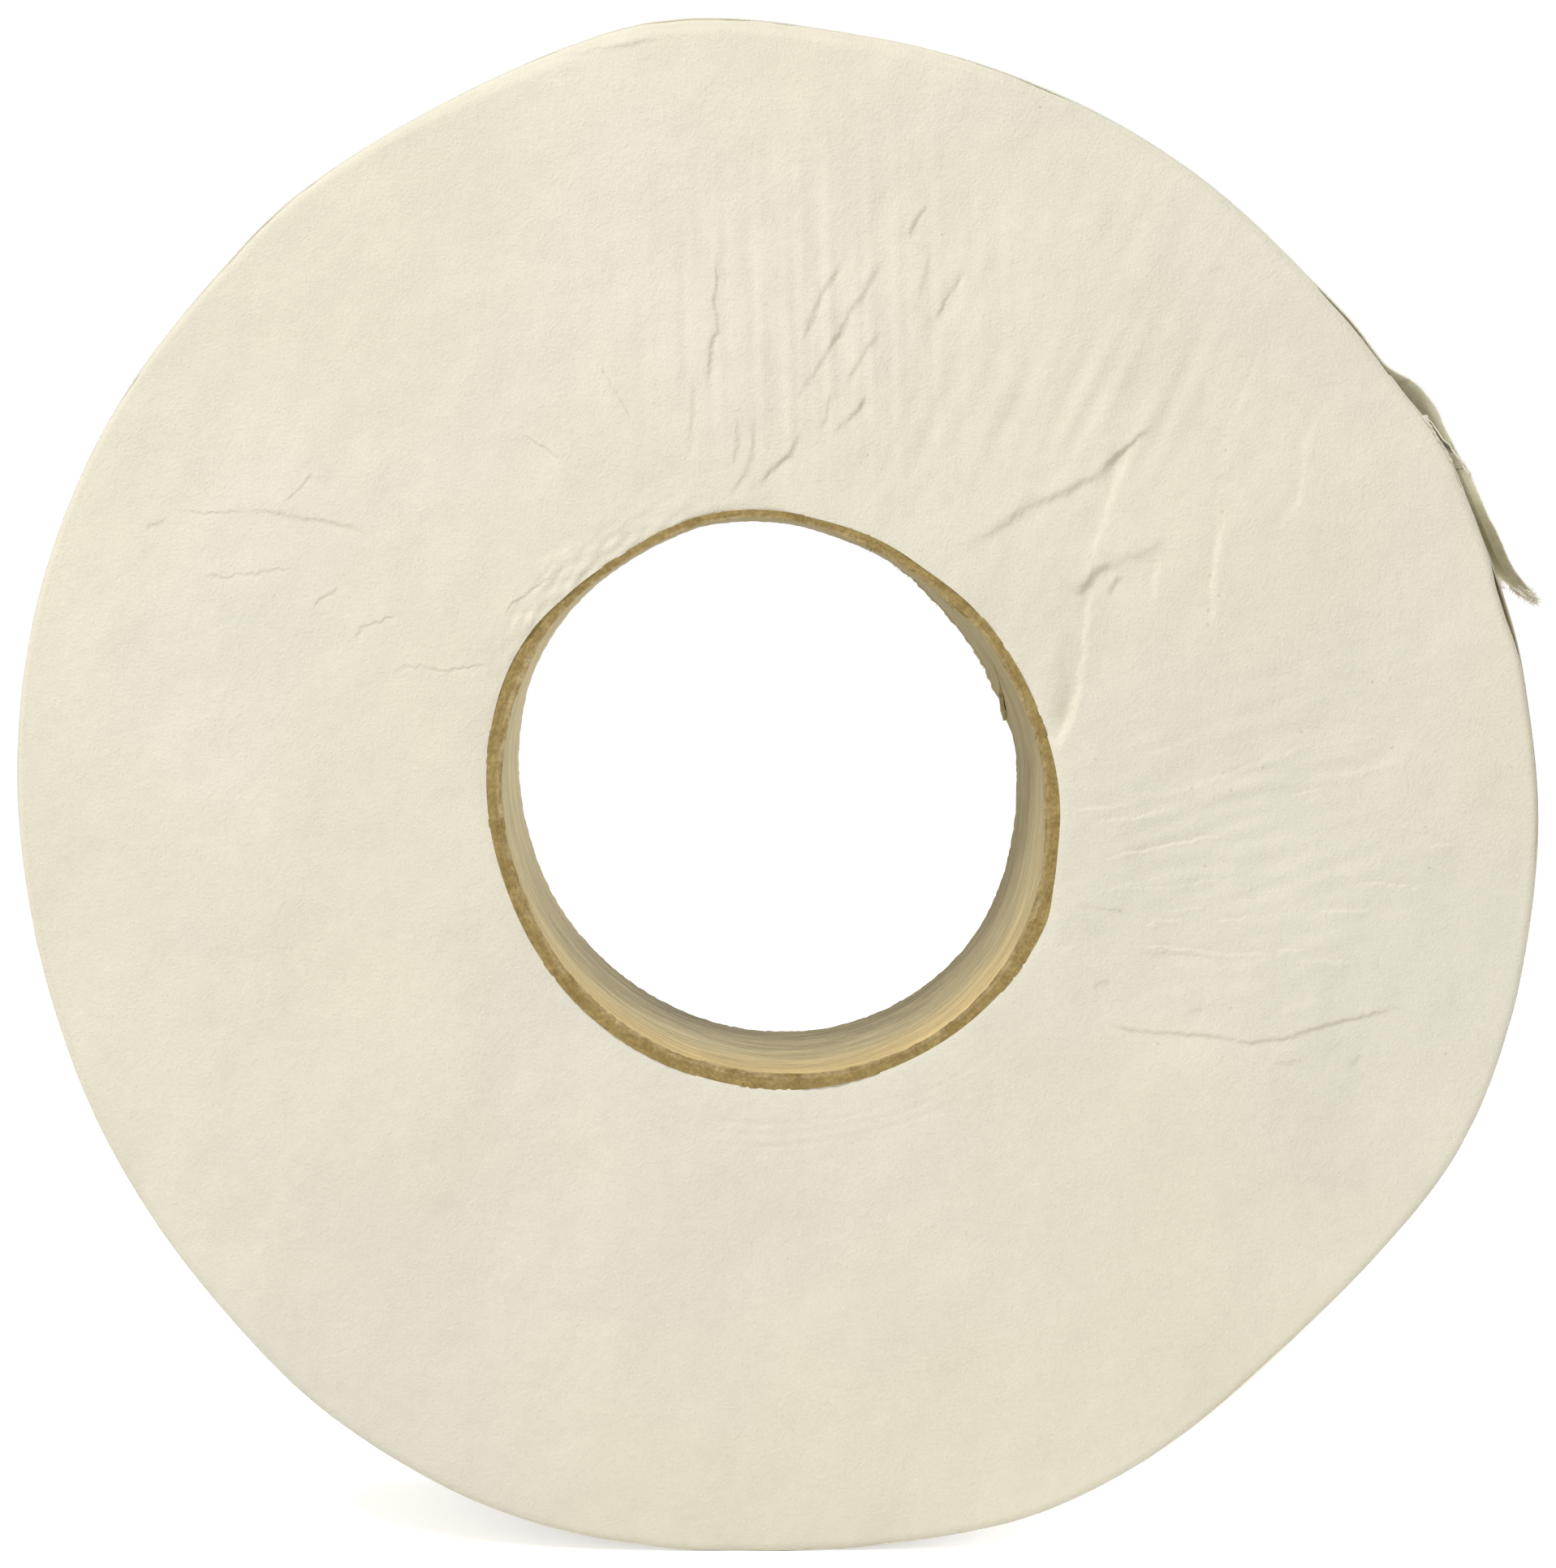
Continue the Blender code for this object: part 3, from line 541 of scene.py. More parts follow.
def rim_radius(angle):
    """Radius of the outside of the outermost paper."""
    solid = np.interp(past_root(angle), RIM_PLACES[RIM_ORDER], RIM[1][RIM_ORDER])
    return solid + knots(RIM_SWELL, past_root(angle)) * MM


def oval(surface):
    """Even, twice-round unevenness that fits a surface's radii, as a constant and two waves."""
    turned = np.radians(surface[0])
    waves = np.column_stack((np.ones_like(turned), np.cos(2 * turned), np.sin(2 * turned)))
    return np.linalg.lstsq(waves, surface[1], rcond=None)[0]


def core_wall(angle, depth):
    """Radii of the core's bore and outside, at this depth behind its front edge."""
    near = np.exp(-((depth / (RING_REACH * MM)) ** 2))
    turned = 2 * np.radians(angle)
    waves = np.stack((np.ones_like(turned), np.cos(turned), np.sin(turned)))
    bore = np.tensordot(oval(CORE_BORE), waves, 1)
    bore += (ring_knots(RING_BORE, angle) * near + ring_knots(DEEP_BORE, angle) * (1.0 - near)) * MM
    outside = np.tensordot(oval(CORE_OUTSIDE), waves, 1) + ring_knots(RING_OUTSIDE, angle) * near * MM
    return bore, np.maximum(outside, bore + RING_LEAST * MM)


def add_object(name, bm, *materials):
    """A finished piece from a bmesh, with its place in its mesh."""
    mesh = bpy.data.meshes.new(name)
    bm.to_mesh(mesh)
    bm.free()
    mesh.shade_smooth()
    mesh.set_sharp_from_angle(angle=math.radians(SHARP_ANGLE))
    for material in materials:
        mesh.materials.append(material)
    piece = bpy.data.objects.new(name, mesh)
    bpy.context.scene.collection.objects.link(piece)
    return piece


def places_of(bm):
    return np.array([vert.co for vert in bm.verts])


def move_to(bm, points):
    for vert, point in zip(bm.verts, points):
        vert.co = point


def sheet_grid(along, across):
    """A flat grid, and where each of its vertices lies along it and across it, from 0 to 1."""
    bm = bmesh.new()
    bmesh.ops.create_grid(bm, x_segments=along, y_segments=across, size=0.5)
    flat = places_of(bm)
    return bm, flat[:, 0] + 0.5, flat[:, 1] + 0.5


def refine(bm, wanted, reach):
    """Cut into four each face whose middle is wanted within this reach."""
    middles = np.array([face.calc_center_median() for face in bm.faces])
    chosen = wanted(middles, reach)
    edges = {edge for face, cut in zip(bm.faces, chosen) if cut for edge in face.edges}
    bmesh.ops.subdivide_edges(bm, edges=list(edges), cuts=1, use_grid_fill=True)


def slab_grid(along, across):
    """A closed slab from a grid, with where its vertices lie along it, across it and through it."""
    bm = sheet_grid(along, across)[0]
    bmesh.ops.extrude_face_region(bm, geom=bm.faces[:], use_keep_orig=True)
    flat = places_of(bm)
    under = np.arange(len(flat)) >= (along + 1) * (across + 1)
    return bm, flat[:, 0] + 0.5, flat[:, 1] + 0.5, np.where(under, 0.5, -0.5)


def from_line(x, z, line):
    """Distance of places from a line, less than 0 on its lit side, and the share of it before them."""
    line = np.array(line)
    lengths = np.hypot(*np.diff(line, axis=0).T)
    nearest = np.full(len(x), np.inf)
    offset = np.zeros(len(x))
    share = np.zeros(len(x))
    done = 0.0
    for (ax, az), (bx, bz), length in zip(line, line[1:], lengths):
        ex, ez = (bx - ax) / length, (bz - az) / length
        run = np.clip((x - ax) * ex + (z - az) * ez, 0.0, length)
        dx, dz = x - ax - run * ex, z - az - run * ez
        apart = np.hypot(dx, dz)
        facing = 1.0 if ez * LIGHT_WAY[0] - ex * LIGHT_WAY[1] > 0.0 else -1.0
        closer = apart < nearest
        nearest = np.where(closer, apart, nearest)
        offset = np.where(closer, np.sign((dx * ez - dz * ex) * facing) * apart, offset)
        share = np.where(closer, (done + run) / lengths.sum(), share)
        done += length
    return offset, share


def beside(x, z, line, reach):
    """Which places lie in the box round a line."""
    low, high = np.min(line, axis=0) - reach, np.max(line, axis=0) + reach
    return np.flatnonzero((x > low[0]) & (x < high[0]) & (z > low[1]) & (z < high[1]))


def near_fold(x, z, reach):
    """Whether each place on the front face lies close to a sharp fold or a speck."""
    found = np.zeros(len(x), bool)
    for kind, _, line in FOLDS:
        if kind not in BROAD_KINDS:
            some = beside(x, z, line, reach + 1.0)
            found[some] |= np.abs(from_line(x[some], z[some], line)[0] - FOLD_KINDS[kind].shift) < reach
    for place in SPECKS:
        found |= np.hypot(x - place[0], z - place[1]) < 0.6 * reach
    return found


def fold_relief(x, z):
    """Height of the folds at each place on the front face, in mm, and the dirt and painted shade in them
    there.
    """
    height = np.zeros_like(x)
    shade = np.zeros_like(x)
    wander = waves(x, z, FOLD_WANDER)
    middle, *wave = FOLD_UNEVEN
    uneven = np.clip(middle + waves(x, z, (wave,)), *UNEVEN_LIMITS)
    for kind, strength, line in FOLDS:
        fold = FOLD_KINDS[kind]
        some = beside(x, z, line, 3.0 * fold.before)
        offset, along = from_line(x[some], z[some], line)
        offset += wander[some] * (CRINKLE_WANDER if kind == "crinkle" else 1.0) - fold.shift
        taper = strength * ease(along / FOLD_ENDS) * ease((1.0 - along) / FOLD_ENDS) * uneven[some]
        down = 0.5 + 0.5 * np.tanh(1.2 * offset / fold.width)
        after = np.exp(-np.maximum(offset, 0.0) / fold.after)
        before = np.exp(np.minimum(offset, 0.0) / fold.before)
        rise = (1.0 - down) * (1.0 - fold.share) * before - down * fold.share * after
        height[some] += fold.step * taper * rise
        # Dirt and painted shade along the fold's line, and painted shade on its side before the line
        dirt = fold.dirt * np.exp(-((offset / fold.width) ** 2))
        shade[some] += taper * (dirt + fold.gloom * before * (1.0 - down))
    return height, shade


def front_relief(x, z, angle, from_core):
    """Height of the front face and the shade in its folds, in mm, at places in mm."""
    height, shade = fold_relief(x, z)
    height += waves(x, z, FRONT_WAVES)
    for (mx, mz), (wide, high), rise, length, ways, seed in WRINKLES:
        patch = np.exp(-(((x - mx) / wide) ** 2) - ((z - mz) / high) ** 2)
        along, across = [(way[0] * x + way[1] * z) / way[2] for way in ways]
        height += rise * patch * swell(along, across, length, seed)
    middle, wide, reach, rise = CORE_WRINKLES
    corner = np.exp(-(((angle - middle) / wide) ** 2) - (from_core / reach) ** 2)
    height += rise * corner * swell(0.3 * angle, from_core + 0.05 * angle, 2.0, 7)
    under = np.exp(-(((angle - LINES_AT[0]) / LINES_AT[1]) ** 2))
    for place, depth in LINES:
        apart = from_core - place - waves(x, z, (LINE_WANDER,))
        line = np.exp(-((apart / LINE_WIDTH) ** 2))
        height -= depth * under * line * (1.0 + waves(x, z, (LINE_UNEVEN,)))
    for px, pz in SPECKS:
        shade += SPECK_SHADE * np.exp(-((np.hypot(x - px, z - pz) / SPECK_WIDTH) ** 2))
    return height, shade


def back_relief(x, z, angle, from_core):
    """The same for the back face, which has only soft folds that run out from the core."""
    height = waves(x, z, BACK_WAVES)
    shade = np.zeros_like(x)
    draw = np.random.default_rng(15)
    radius = np.hypot(x, z)
    for heading in draw.uniform(0.0, 360.0, BACK_FOLDS):
        start, length, depth, lean, width = [draw.uniform(*span) for span in BACK_FOLD_RANGES]
        place = heading + lean * (radius - start)
        offset = np.radians((angle - place + 180.0) % 360.0 - 180.0) * radius
        taper = ease((radius - start) / BACK_FOLD_ENDS) * ease((start + length - radius) / BACK_FOLD_ENDS)
        steep = np.exp(-((offset / width) ** 2))
        gentle = np.exp(-np.maximum(offset, 0.0) / (1.8 * width))
        height -= depth * taper * np.where(offset < 0.0, steep, gentle)
        # Dirt and painted shade down in each fold
        shade += depth * taper * np.exp(-((offset / BACK_FOLD_DIRT_AND_SHADE) ** 2))
    return height, shade


def keep_values(bm, **values):
    """Store a value for each vertex under each of these attribute names."""
    for name, held in values.items():
        layer = bm.verts.layers.float.new(name)
        for vert, value in zip(bm.verts, held):
            vert[layer] = value


def round_axis(angle, radius, y):
    """Points at these angles and radii about the roll's axis, and at these places along it."""
    turned = np.radians(angle)
    points = np.column_stack((radius * np.cos(turned), y, radius * np.sin(turned)))
    return points + (AXIS.x, 0.0, AXIS.z)


def add_winding(name, side, reach, rings, arcs, relief, material):
    """Turns on one side of the middle, between two shares of the winding, whose edges make its face."""
    look = bpy.context.scene.tape_paper
    half = WIDTH / 2
    wall = (half, half * 0.4, *(depth * MM for depth in WALL_DEPTHS))
    evenly = np.linspace(*reach, rings + 1)
    face = evenly - ROW_CROWDING * np.sin(2.0 * math.pi * evenly) / (2.0 * math.pi)
    profile = [(face[0], depth) for depth in wall]
    profile += [(share, 0.0) for share in face]
    profile += [(face[-1], depth) for depth in reversed(wall)] + [(face[0], half)]
    shares, depths = np.array(profile).T
    turns = np.concatenate([np.linspace(first, last, steps + 1)[1:] for first, last, steps in arcs])
    turns = np.concatenate(((arcs[0][0],), turns))
    bm = sheet_grid(len(turns) - 1, len(profile) - 1)[0]

    def place_of(flat):
        along, across = (flat[:, :2].T + 0.5) * ((len(turns) - 1,), (len(profile) - 1,))
        angle = np.interp(along, np.arange(len(turns)), turns) % 360.0
        share = np.interp(across, np.arange(len(profile)), shares)
        depth = np.interp(across, np.arange(len(profile)), depths)
        inside = core_wall(angle, depth if side < 0 else WIDTH - depth)[1] - CORE_LAP * MM
        outside = rim_radius(angle) - look.thickness - knots(RIM_AIR, past_root(angle)) * MM
        radius = inside + share * (outside - inside)
        turned = np.radians(angle)
        x, z = radius * np.cos(turned) / MM, radius * np.sin(turned) / MM
        return x, z, angle, depth, (radius - inside) / MM, (outside - radius) / MM

    def creased(flat, near):
        x, z, _, depth, _, _ = place_of(flat)
        return near_fold(x, z, near) & (depth < 0.01 * MM)

    if side < 0:
        for near in FINE_REACHES:
            refine(bm, creased, near)
    x, z, angle, depth, from_core, from_rim = place_of(places_of(bm))
    past = past_root(angle)
    height, shade = relief(x, z, angle, from_core)
    rounded = np.clip(1.0 - from_rim / knots(RIM_ROUND, past), 0.0, 1.0)
    height -= knots(RIM_DROP, past) * rounded**2 + CORE_DIP[0] * np.exp(-from_core / CORE_DIP[1])
    height *= look.fold_depth
    # Painted shade on the rounded edge of the rim
    shade += knots(RIM_SHADE, past) * ease(2.0 * rounded)
    near_face = np.exp(-depth / (RELIEF_DEPTH * MM))
    points = np.column_stack((x * MM, side * (half - depth + height * near_face * MM), z * MM))
    move_to(bm, points + np.array(AXIS))
    keep_values(bm, fold_shade=shade, rim_distance=from_rim)
    bmesh.ops.remove_doubles(bm, verts=bm.verts, dist=1e-6)
    bmesh.ops.recalc_face_normals(bm, faces=bm.faces)
    return add_object(name, bm, material)


def strip_middle(node):
    """Places along the middle of a strip solid, from the end that is nearer the roll, as X and Z."""
    points = {tuple(round(value, 6) for value in vert.co) for vert in frame["nodes"][node].data.vertices}
    front = np.array([(x, z) for x, y, z in points if y < 0.0]) - (AXIS.x, AXIS.z)
    front = front[np.argsort(-np.arctan2(front[:, 1], front[:, 0]))]
    return (front[0::2] + front[1::2]) / 2


def strip_path():
    """The loose turn and the tail as one smooth line: lengths from the tail's root, and X and Z."""
    angle = ROOT_ANGLE + np.arange(360.0 - TURN_SHORT, 0.0, -PATH_TURN)
    radius = rim_radius(angle) - bpy.context.scene.tape_paper.thickness / 2
    turned = np.radians(angle)
    turn = np.column_stack((radius * np.cos(turned), radius * np.sin(turned)))
    line = np.concatenate((turn, *(strip_middle(node) for node in TAIL_NODES)))
    lengths = np.concatenate(((0.0,), np.cumsum(np.hypot(*np.diff(line, axis=0).T))))
    root = lengths[len(turn) - 1]
    fine = np.append(np.arange(0.0, lengths[-1], PATH_STEP * MM), lengths[-1])
    window = np.hanning(PATH_WINDOW)
    window /= window.sum()
    pad = len(window) // 2
    smooth = []
    for values in line.T:
        even = np.interp(fine, lengths, values)
        held = np.concatenate((2 * even[0] - even[pad:0:-1], even, 2 * even[-1] - even[-2:-pad - 2:-1]))
        smooth.append(np.convolve(held, window, "valid"))
    return fine - root, np.column_stack(smooth)


def strip_points(path, run, from_front, lift):
    """Points on the strip: so far along its path, behind the front plane and lifted off the path."""
    lengths, line = path
    ways = np.gradient(line, lengths, axis=0)
    ways /= np.hypot(*ways.T)[:, None]
    x = np.interp(run, lengths, line[:, 0]) - np.interp(run, lengths, ways[:, 1]) * lift
    z = np.interp(run, lengths, line[:, 1]) + np.interp(run, lengths, ways[:, 0]) * lift
    return np.column_stack((x + AXIS.x, FRONT + from_front, z + AXIS.z))


def strip_lift(tail, depth):
    """How far the strip stands off its path, so far along the tail and behind its front edge, in mm."""
    flared = np.clip(1.0 - depth / FLARE_REACH, 0.0, 1.0)
    sunk = (1.0 - flared) * np.exp(-((depth / SINK_REACH) ** 2))
    return knots(TAIL_FLARE, tail) * flared - knots(TAIL_SINK, tail) * sunk


def strip_pulp(tail, depth, from_end):
    """How much pale pulp shows on the tail, at this depth behind its edge and distance from its end."""
    strength, width, start, length = CREASE_PULP
    pulp = strength * np.exp(-(((depth - FLARE_REACH) / width) ** 2)) * ease((tail - start) / length)
    strength, width, start, length = EDGE_PULP
    pulp += strength * np.exp(-depth / width) * ease((tail - start) / length)
    strength, width = END_PULP
    return pulp + strength * np.exp(-from_end / (width * MM))


def strip_painted_shade(tail, depth, outer, past):
    """How much shade is painted on the loose paper, on its outer or inner side and so far past the tail's
    root.
    """
    on_tail = ease((tail - TAIL_SHADE_START[0]) / TAIL_SHADE_START[1])
    on_tail *= np.exp(-depth / np.where(outer, *TAIL_SHADE_DEPTHS))
    less, start, length = TAIL_SHADE_FADE
    on_tail *= TAIL_SHADE_STRENGTH - less * ease((depth - start) / length)
    strength, reach = TURN_SHADE
    on_roll = strength * knots(RIM_SHADE, past) * np.exp(-depth / reach)
    return np.where(tail < -TAIL_LEAD, on_roll, on_tail)


def add_strip(name, path, start, end, steps, rows, tear, material):
    """A length of the loose paper between two places on its path, with ragged edges."""
    bm, along, across, through = slab_grid(steps, rows)
    across = (across + 2.0 * across * across) / 3.0
    torn = tear(across * WIDTH / MM) * MM
    run = start + along * (end - torn - start)
    tail = run / MM
    angle = np.degrees(np.arctan2(*[np.interp(run, path[0], line) for line in path[1].T[::-1]]))
    past = past_root(angle)
    turn_edge = knots(TURN_BACK, past) + torn_edge(tail, TURN_EDGE)
    tail_edge = knots(TAIL_BACK, tail) + torn_edge(tail, TAIL_EDGE)
    back = np.where(tail < -TAIL_LEAD, turn_edge, tail_edge) * MM
    far = (FAR_BACK + torn_edge(tail, FAR_EDGE)) * MM
    from_front = back + across * (WIDTH - back - far)
    depth = (from_front - back) / MM
    height, length, seed = FREE_WAVE
    hangs = ease((tail - FREE_START[0]) / FREE_START[1])
    free = height * hangs * swell(tail, from_front / MM, length, seed)
    uneven = waves(tail, from_front / MM, (PAPER_WAVE,)) + free
    loose = ease((tail - WAVE_START[0]) / WAVE_START[1])
    lift = strip_lift(tail, depth) + uneven * (loose * (1.0 - WAVE_ON_ROLL) + WAVE_ON_ROLL)
    outer = through > 0.0
    from_end = np.where(torn > 0.0, end - torn - run, np.inf)
    pulp = strip_pulp(tail, depth, from_end)
    soil = strip_painted_shade(tail, depth, outer, past)
    keep_values(bm, torn=pulp, soiled=soil, outward=outer & (tail > -TAIL_LEAD))
    thickness = through * bpy.context.scene.tape_paper.thickness
    move_to(bm, strip_points(path, run, from_front, lift * MM + thickness))
    bmesh.ops.recalc_face_normals(bm, faces=bm.faces)
    return add_object(name, bm, material)


def add_torn_layer(path, material):
    """A sliver split off the tail's inner side, which crosses from the roll's edge to the tail's."""
    bm, along, across, through = slab_grid(*LAYER_GRID)
    tail = LAYER_SPAN[0] + along * (LAYER_SPAN[1] + LAYER_SLANT * across)
    height, start, length = LAYER_CURL
    curl = height * across * ease((tail - start) / length)
    lift = knots(LAYER_RISE, tail) + curl + waves(tail, across, (LAYER_WAVE,))
    height, length, seed = LAYER_EDGE
    from_front = LAYER_BACK + across * knots(LAYER_WIDTH, tail) + height * ragged(tail, length, seed)
    points = strip_points(path, tail * MM, from_front * MM, lift * MM + through * LAYER_THICK * MM)
    move_to(bm, points)
    bmesh.ops.recalc_face_normals(bm, faces=bm.faces)
    return add_object("torn_layer", bm, material)


def add_edge_ribbon(material):
    """A thin ribbon torn off the edge of the roll's outermost turn, under the tail."""
    bm, along, across, through = slab_grid(*RIBBON_GRID)
    angle = ROOT_ANGLE - RIBBON_SPAN[0] - along * RIBBON_SPAN[1]
    curl = np.exp(-((along / RIBBON_CURL) ** 2))
    first, last = RIBBON_TAPERS
    width = RIBBON_WIDTH * ease(along / first) * ease((1.0 - along) / last)
    width *= 0.75 + 0.5 * ragged(along * 10.0, 0.7, 74)
    uneven = waves(along * 10.0, across, (RIBBON_WAVE,))
    out = -RIBBON_ROOT + across * width * (1.0 + 1.6 * curl) + uneven
    radius = rim_radius(angle) + (out + through * 0.06 * (across > 0.9)) * MM
    behind = (0.35 * across - 0.45 * curl * across + 0.05 + through * 0.08) * MM
    move_to(bm, round_axis(angle, radius, FRONT + behind))
    bmesh.ops.recalc_face_normals(bm, faces=bm.faces)
    return add_object("edge_ribbon", bm, material)


def no_tear(across):
    """An end that is cut straight."""
    return np.zeros_like(across)


def tip_tear(across):
    """How much of the tail's end is torn away, by the distance from its front edge, in mm."""
    slant, reach = TEAR_SLANT
    length, seed = TEAR_RAGGED
    ragged_part = ragged(across, length, seed) * ease(across / length)
    slanted = slant * np.minimum(across / reach, 1.0)
    return slanted + ragged_part + waves(across, across, (TEAR_WAVE,))


def add_ply(name, order, seam, lap, material, edge_material):
    """One ply of the core, counted from the bore, whose own end may lap over its other end."""
    bm, around, across, through = slab_grid(*PLY_GRID)
    across += PLY_CROWDING * np.sin(2.0 * math.pi * across) / math.pi
    swept = around * (360.0 + lap)
    angle = seam + PLY_TWIST * across + swept
    depth = across * WIDTH
    bore, outside = core_wall(angle % 360.0, depth)
    radius = bore + (outside - bore) / 3 * (order + 0.5 + through)
    if lap:
        over = ease((LAP_REACH - swept) / (LAP_REACH - lap - 1.0))
        reach, least, most = LAP_CURL
        bulge = np.exp(-(((across - CURL_AT[0]) / CURL_AT[1]) ** 2))
        curl = np.exp(-((swept / reach) ** 2)) * (least + most * bulge)
        radius -= (over * LAP_RISE + curl) * ease((across - 0.4) / 0.4) * MM
        angle += np.exp(-swept / 2.0) * torn_edge(depth / MM, LAP_EDGE)
    edge = np.minimum(across, 1.0 - across) < 1e-6
    turn = angle % 360.0
    round_it = np.radians(turn) * BORE_RADIUS
    height, length, seed = CUT_EDGE
    cut = np.where(edge, CUT_INSET + height * ragged(round_it, length, seed), 0.0)
    inset = np.where(across < 0.5, 1.0, -1.0) * cut * MM
    rough = ease((turn - FRAYED_ARC[0]) / FRAYED_ENDS) * ease((FRAYED_ARC[1] - turn) / FRAYED_ENDS)
    height, length, seed = FRAYED_EDGE
    frayed = height * np.where(across > 0.5, rough, 0.0) * ragged(round_it, length, seed)
    bare = edge & (through < 0.0) & (order == 0)
    radius += np.where(bare, torn_edge(round_it, BORE_EDGE) - frayed, 0.0) * MM
    move_to(bm, round_axis(angle, radius, FRONT + depth + inset))
    bmesh.ops.recalc_face_normals(bm, faces=bm.faces)
    bm.normal_update()
    for face in bm.faces:
        face.material_index = int(abs(face.normal.y) > 0.6)
    return add_object(name, bm, material, edge_material)


def add_fibres(name, roots, material, seed, length, spread):
    """Loose fibres that stand out of a torn edge, from (place, direction) pairs."""
    draw = np.random.default_rng(seed)
    bm = bmesh.new()
    carrier = bpy.data.meshes.new("fibre")
    for place, heading in roots:
        fibre = bmesh.new()
        reach = length * draw.uniform(FIBRE_SHORTEST, 1.0)
        thick = draw.uniform(*FIBRE_THICK) * MM
        way = Vector(heading).normalized() + Vector(draw.normal(0.0, spread, 3))
        step = way.normalized() * (reach / FIBRE_JOINTS)
        bend = draw.normal(0.0, FIBRE_CURL)
        curl = Matrix.Rotation(bend, 3, Vector(draw.normal(0.0, 1.0, 3)).normalized())
        circle = bmesh.ops.create_circle(fibre, cap_ends=True, segments=FIBRE_SIDES, radius=thick)
        ring = circle["verts"]
        lean = Vector((0.0, 0.0, 1.0)).rotation_difference(step).to_matrix()
        bmesh.ops.rotate(fibre, verts=ring, cent=(0.0, 0.0, 0.0), matrix=lean)
        bmesh.ops.translate(fibre, verts=ring, vec=Vector(place) - step * 0.5)
        edges = fibre.edges[:]
        for _ in range(FIBRE_JOINTS):
            made = bmesh.ops.extrude_edge_only(fibre, edges=edges)["geom"]
            ring = [item for item in made if isinstance(item, bmesh.types.BMVert)]
            held = set(ring)
            edges = [e for e in made if isinstance(e, bmesh.types.BMEdge) and held.issuperset(e.verts)]
            bmesh.ops.translate(fibre, verts=ring, vec=step)
            middle = sum((vert.co for vert in ring), Vector()) / FIBRE_SIDES
            to_middle = Matrix.Translation(middle)
            shrink = to_middle @ Matrix.Scale(FIBRE_TAPER, 4) @ Matrix.Translation(-middle)
            bmesh.ops.transform(fibre, matrix=shrink, verts=ring)
            step = curl @ step
        bmesh.ops.contextual_create(fibre, geom=edges)
        fibre.to_mesh(carrier)
        fibre.free()
        bm.from_mesh(carrier)
    bpy.data.meshes.remove(carrier)
    bmesh.ops.recalc_face_normals(bm, faces=bm.faces)
    return add_object(name, bm, material)


def strip_fibres(path, run, from_front, lift, lean):
    """Roots on the loose paper for fibres, which lean along it and off it by these amounts in mm."""
    places = strip_points(path, run, from_front, lift)
    before = strip_points(path, run - lean[0] * MM, from_front, lift - lean[1] * MM)
    return list(zip(places, places - before))


def tip_fibres(path, across, short, lean):
    """Such roots on the tail's torn end, so far behind its front edge and short of its end, in mm."""
    run = path[0][-1] - (tip_tear(across) + short) * MM
    lift = strip_lift(run / MM, across) * MM
    return strip_fibres(path, run, across * MM + 0.3 * MM, lift, lean)


class NodeTree:
    """Short ways to add nodes to a tree and join them."""

    def __init__(self, tree):
        self.tree = tree

    def add(self, kind, **values):
        node = self.tree.nodes.new(kind)
        for name, value in values.items():
            setattr(node, name, value)
        return node

    def put(self, socket, value):
        if isinstance(value, bpy.types.NodeSocket):
            self.tree.links.new(value, socket)
        else:
            socket.default_value = value

    def math(self, operation, *values):
        node = self.add("ShaderNodeMath", operation=operation)
        for socket, value in zip(node.inputs, values):
            self.put(socket, value)
        return node.outputs[0]

    def noise(self, vector, scale, detail=3.0, roughness=0.5):
        node = self.add("ShaderNodeTexNoise")
        self.put(node.inputs["Vector"], vector)
        self.put(node.inputs["Scale"], scale)
        self.put(node.inputs["Detail"], detail)
        self.put(node.inputs["Roughness"], roughness)
        return node.outputs[0]

    def stretched(self, vector, *scale):
        """Coordinates from the roll's axis, scaled along X, Y and Z."""
        node = self.add("ShaderNodeMapping")
        self.put(node.inputs["Vector"], vector)
        self.put(node.inputs["Scale"], scale)
        self.put(node.inputs["Location"], [-place * size for place, size in zip(AXIS, scale)])
        return node.outputs[0]

    def span(self, value, low, high, to_low=0.0, to_high=1.0):
        node = self.add("ShaderNodeMapRange", interpolation_type="SMOOTHSTEP")
        for socket, given in zip(node.inputs, (value, low, high, to_low, to_high)):
            self.put(socket, given)
        return node.outputs[0]

    def mix(self, factor, first, second):
        node = self.add("ShaderNodeMix", data_type="RGBA")
        self.put(node.inputs["Factor"], factor)
        for socket, colour in ((node.inputs[6], first), (node.inputs[7], second)):
            self.put(socket, colour if isinstance(colour, bpy.types.NodeSocket) else (*colour, 1.0))
        return node.outputs[2]

    def attribute(self, name):
        return self.add("ShaderNodeAttribute", attribute_name=name).outputs["Fac"]

    def axes(self, vector):
        node = self.add("ShaderNodeSeparateXYZ")
        self.put(node.inputs[0], vector)
        return node.outputs

    def toned(self, colour, tone):
        node = self.add("ShaderNodeVectorMath", operation="SCALE")
        self.put(node.inputs[0], colour)
        self.put(node.inputs["Scale"], tone)
        return node.outputs[0]

    def seen(self):
        """1 for what the camera sees, also in a gloss or through glass."""
        light = self.add("ShaderNodeLightPath").outputs
        seen = self.math("MAXIMUM", light["Is Camera Ray"], light["Is Glossy Ray"])
        return self.math("MAXIMUM", seen, light["Is Transmission Ray"])


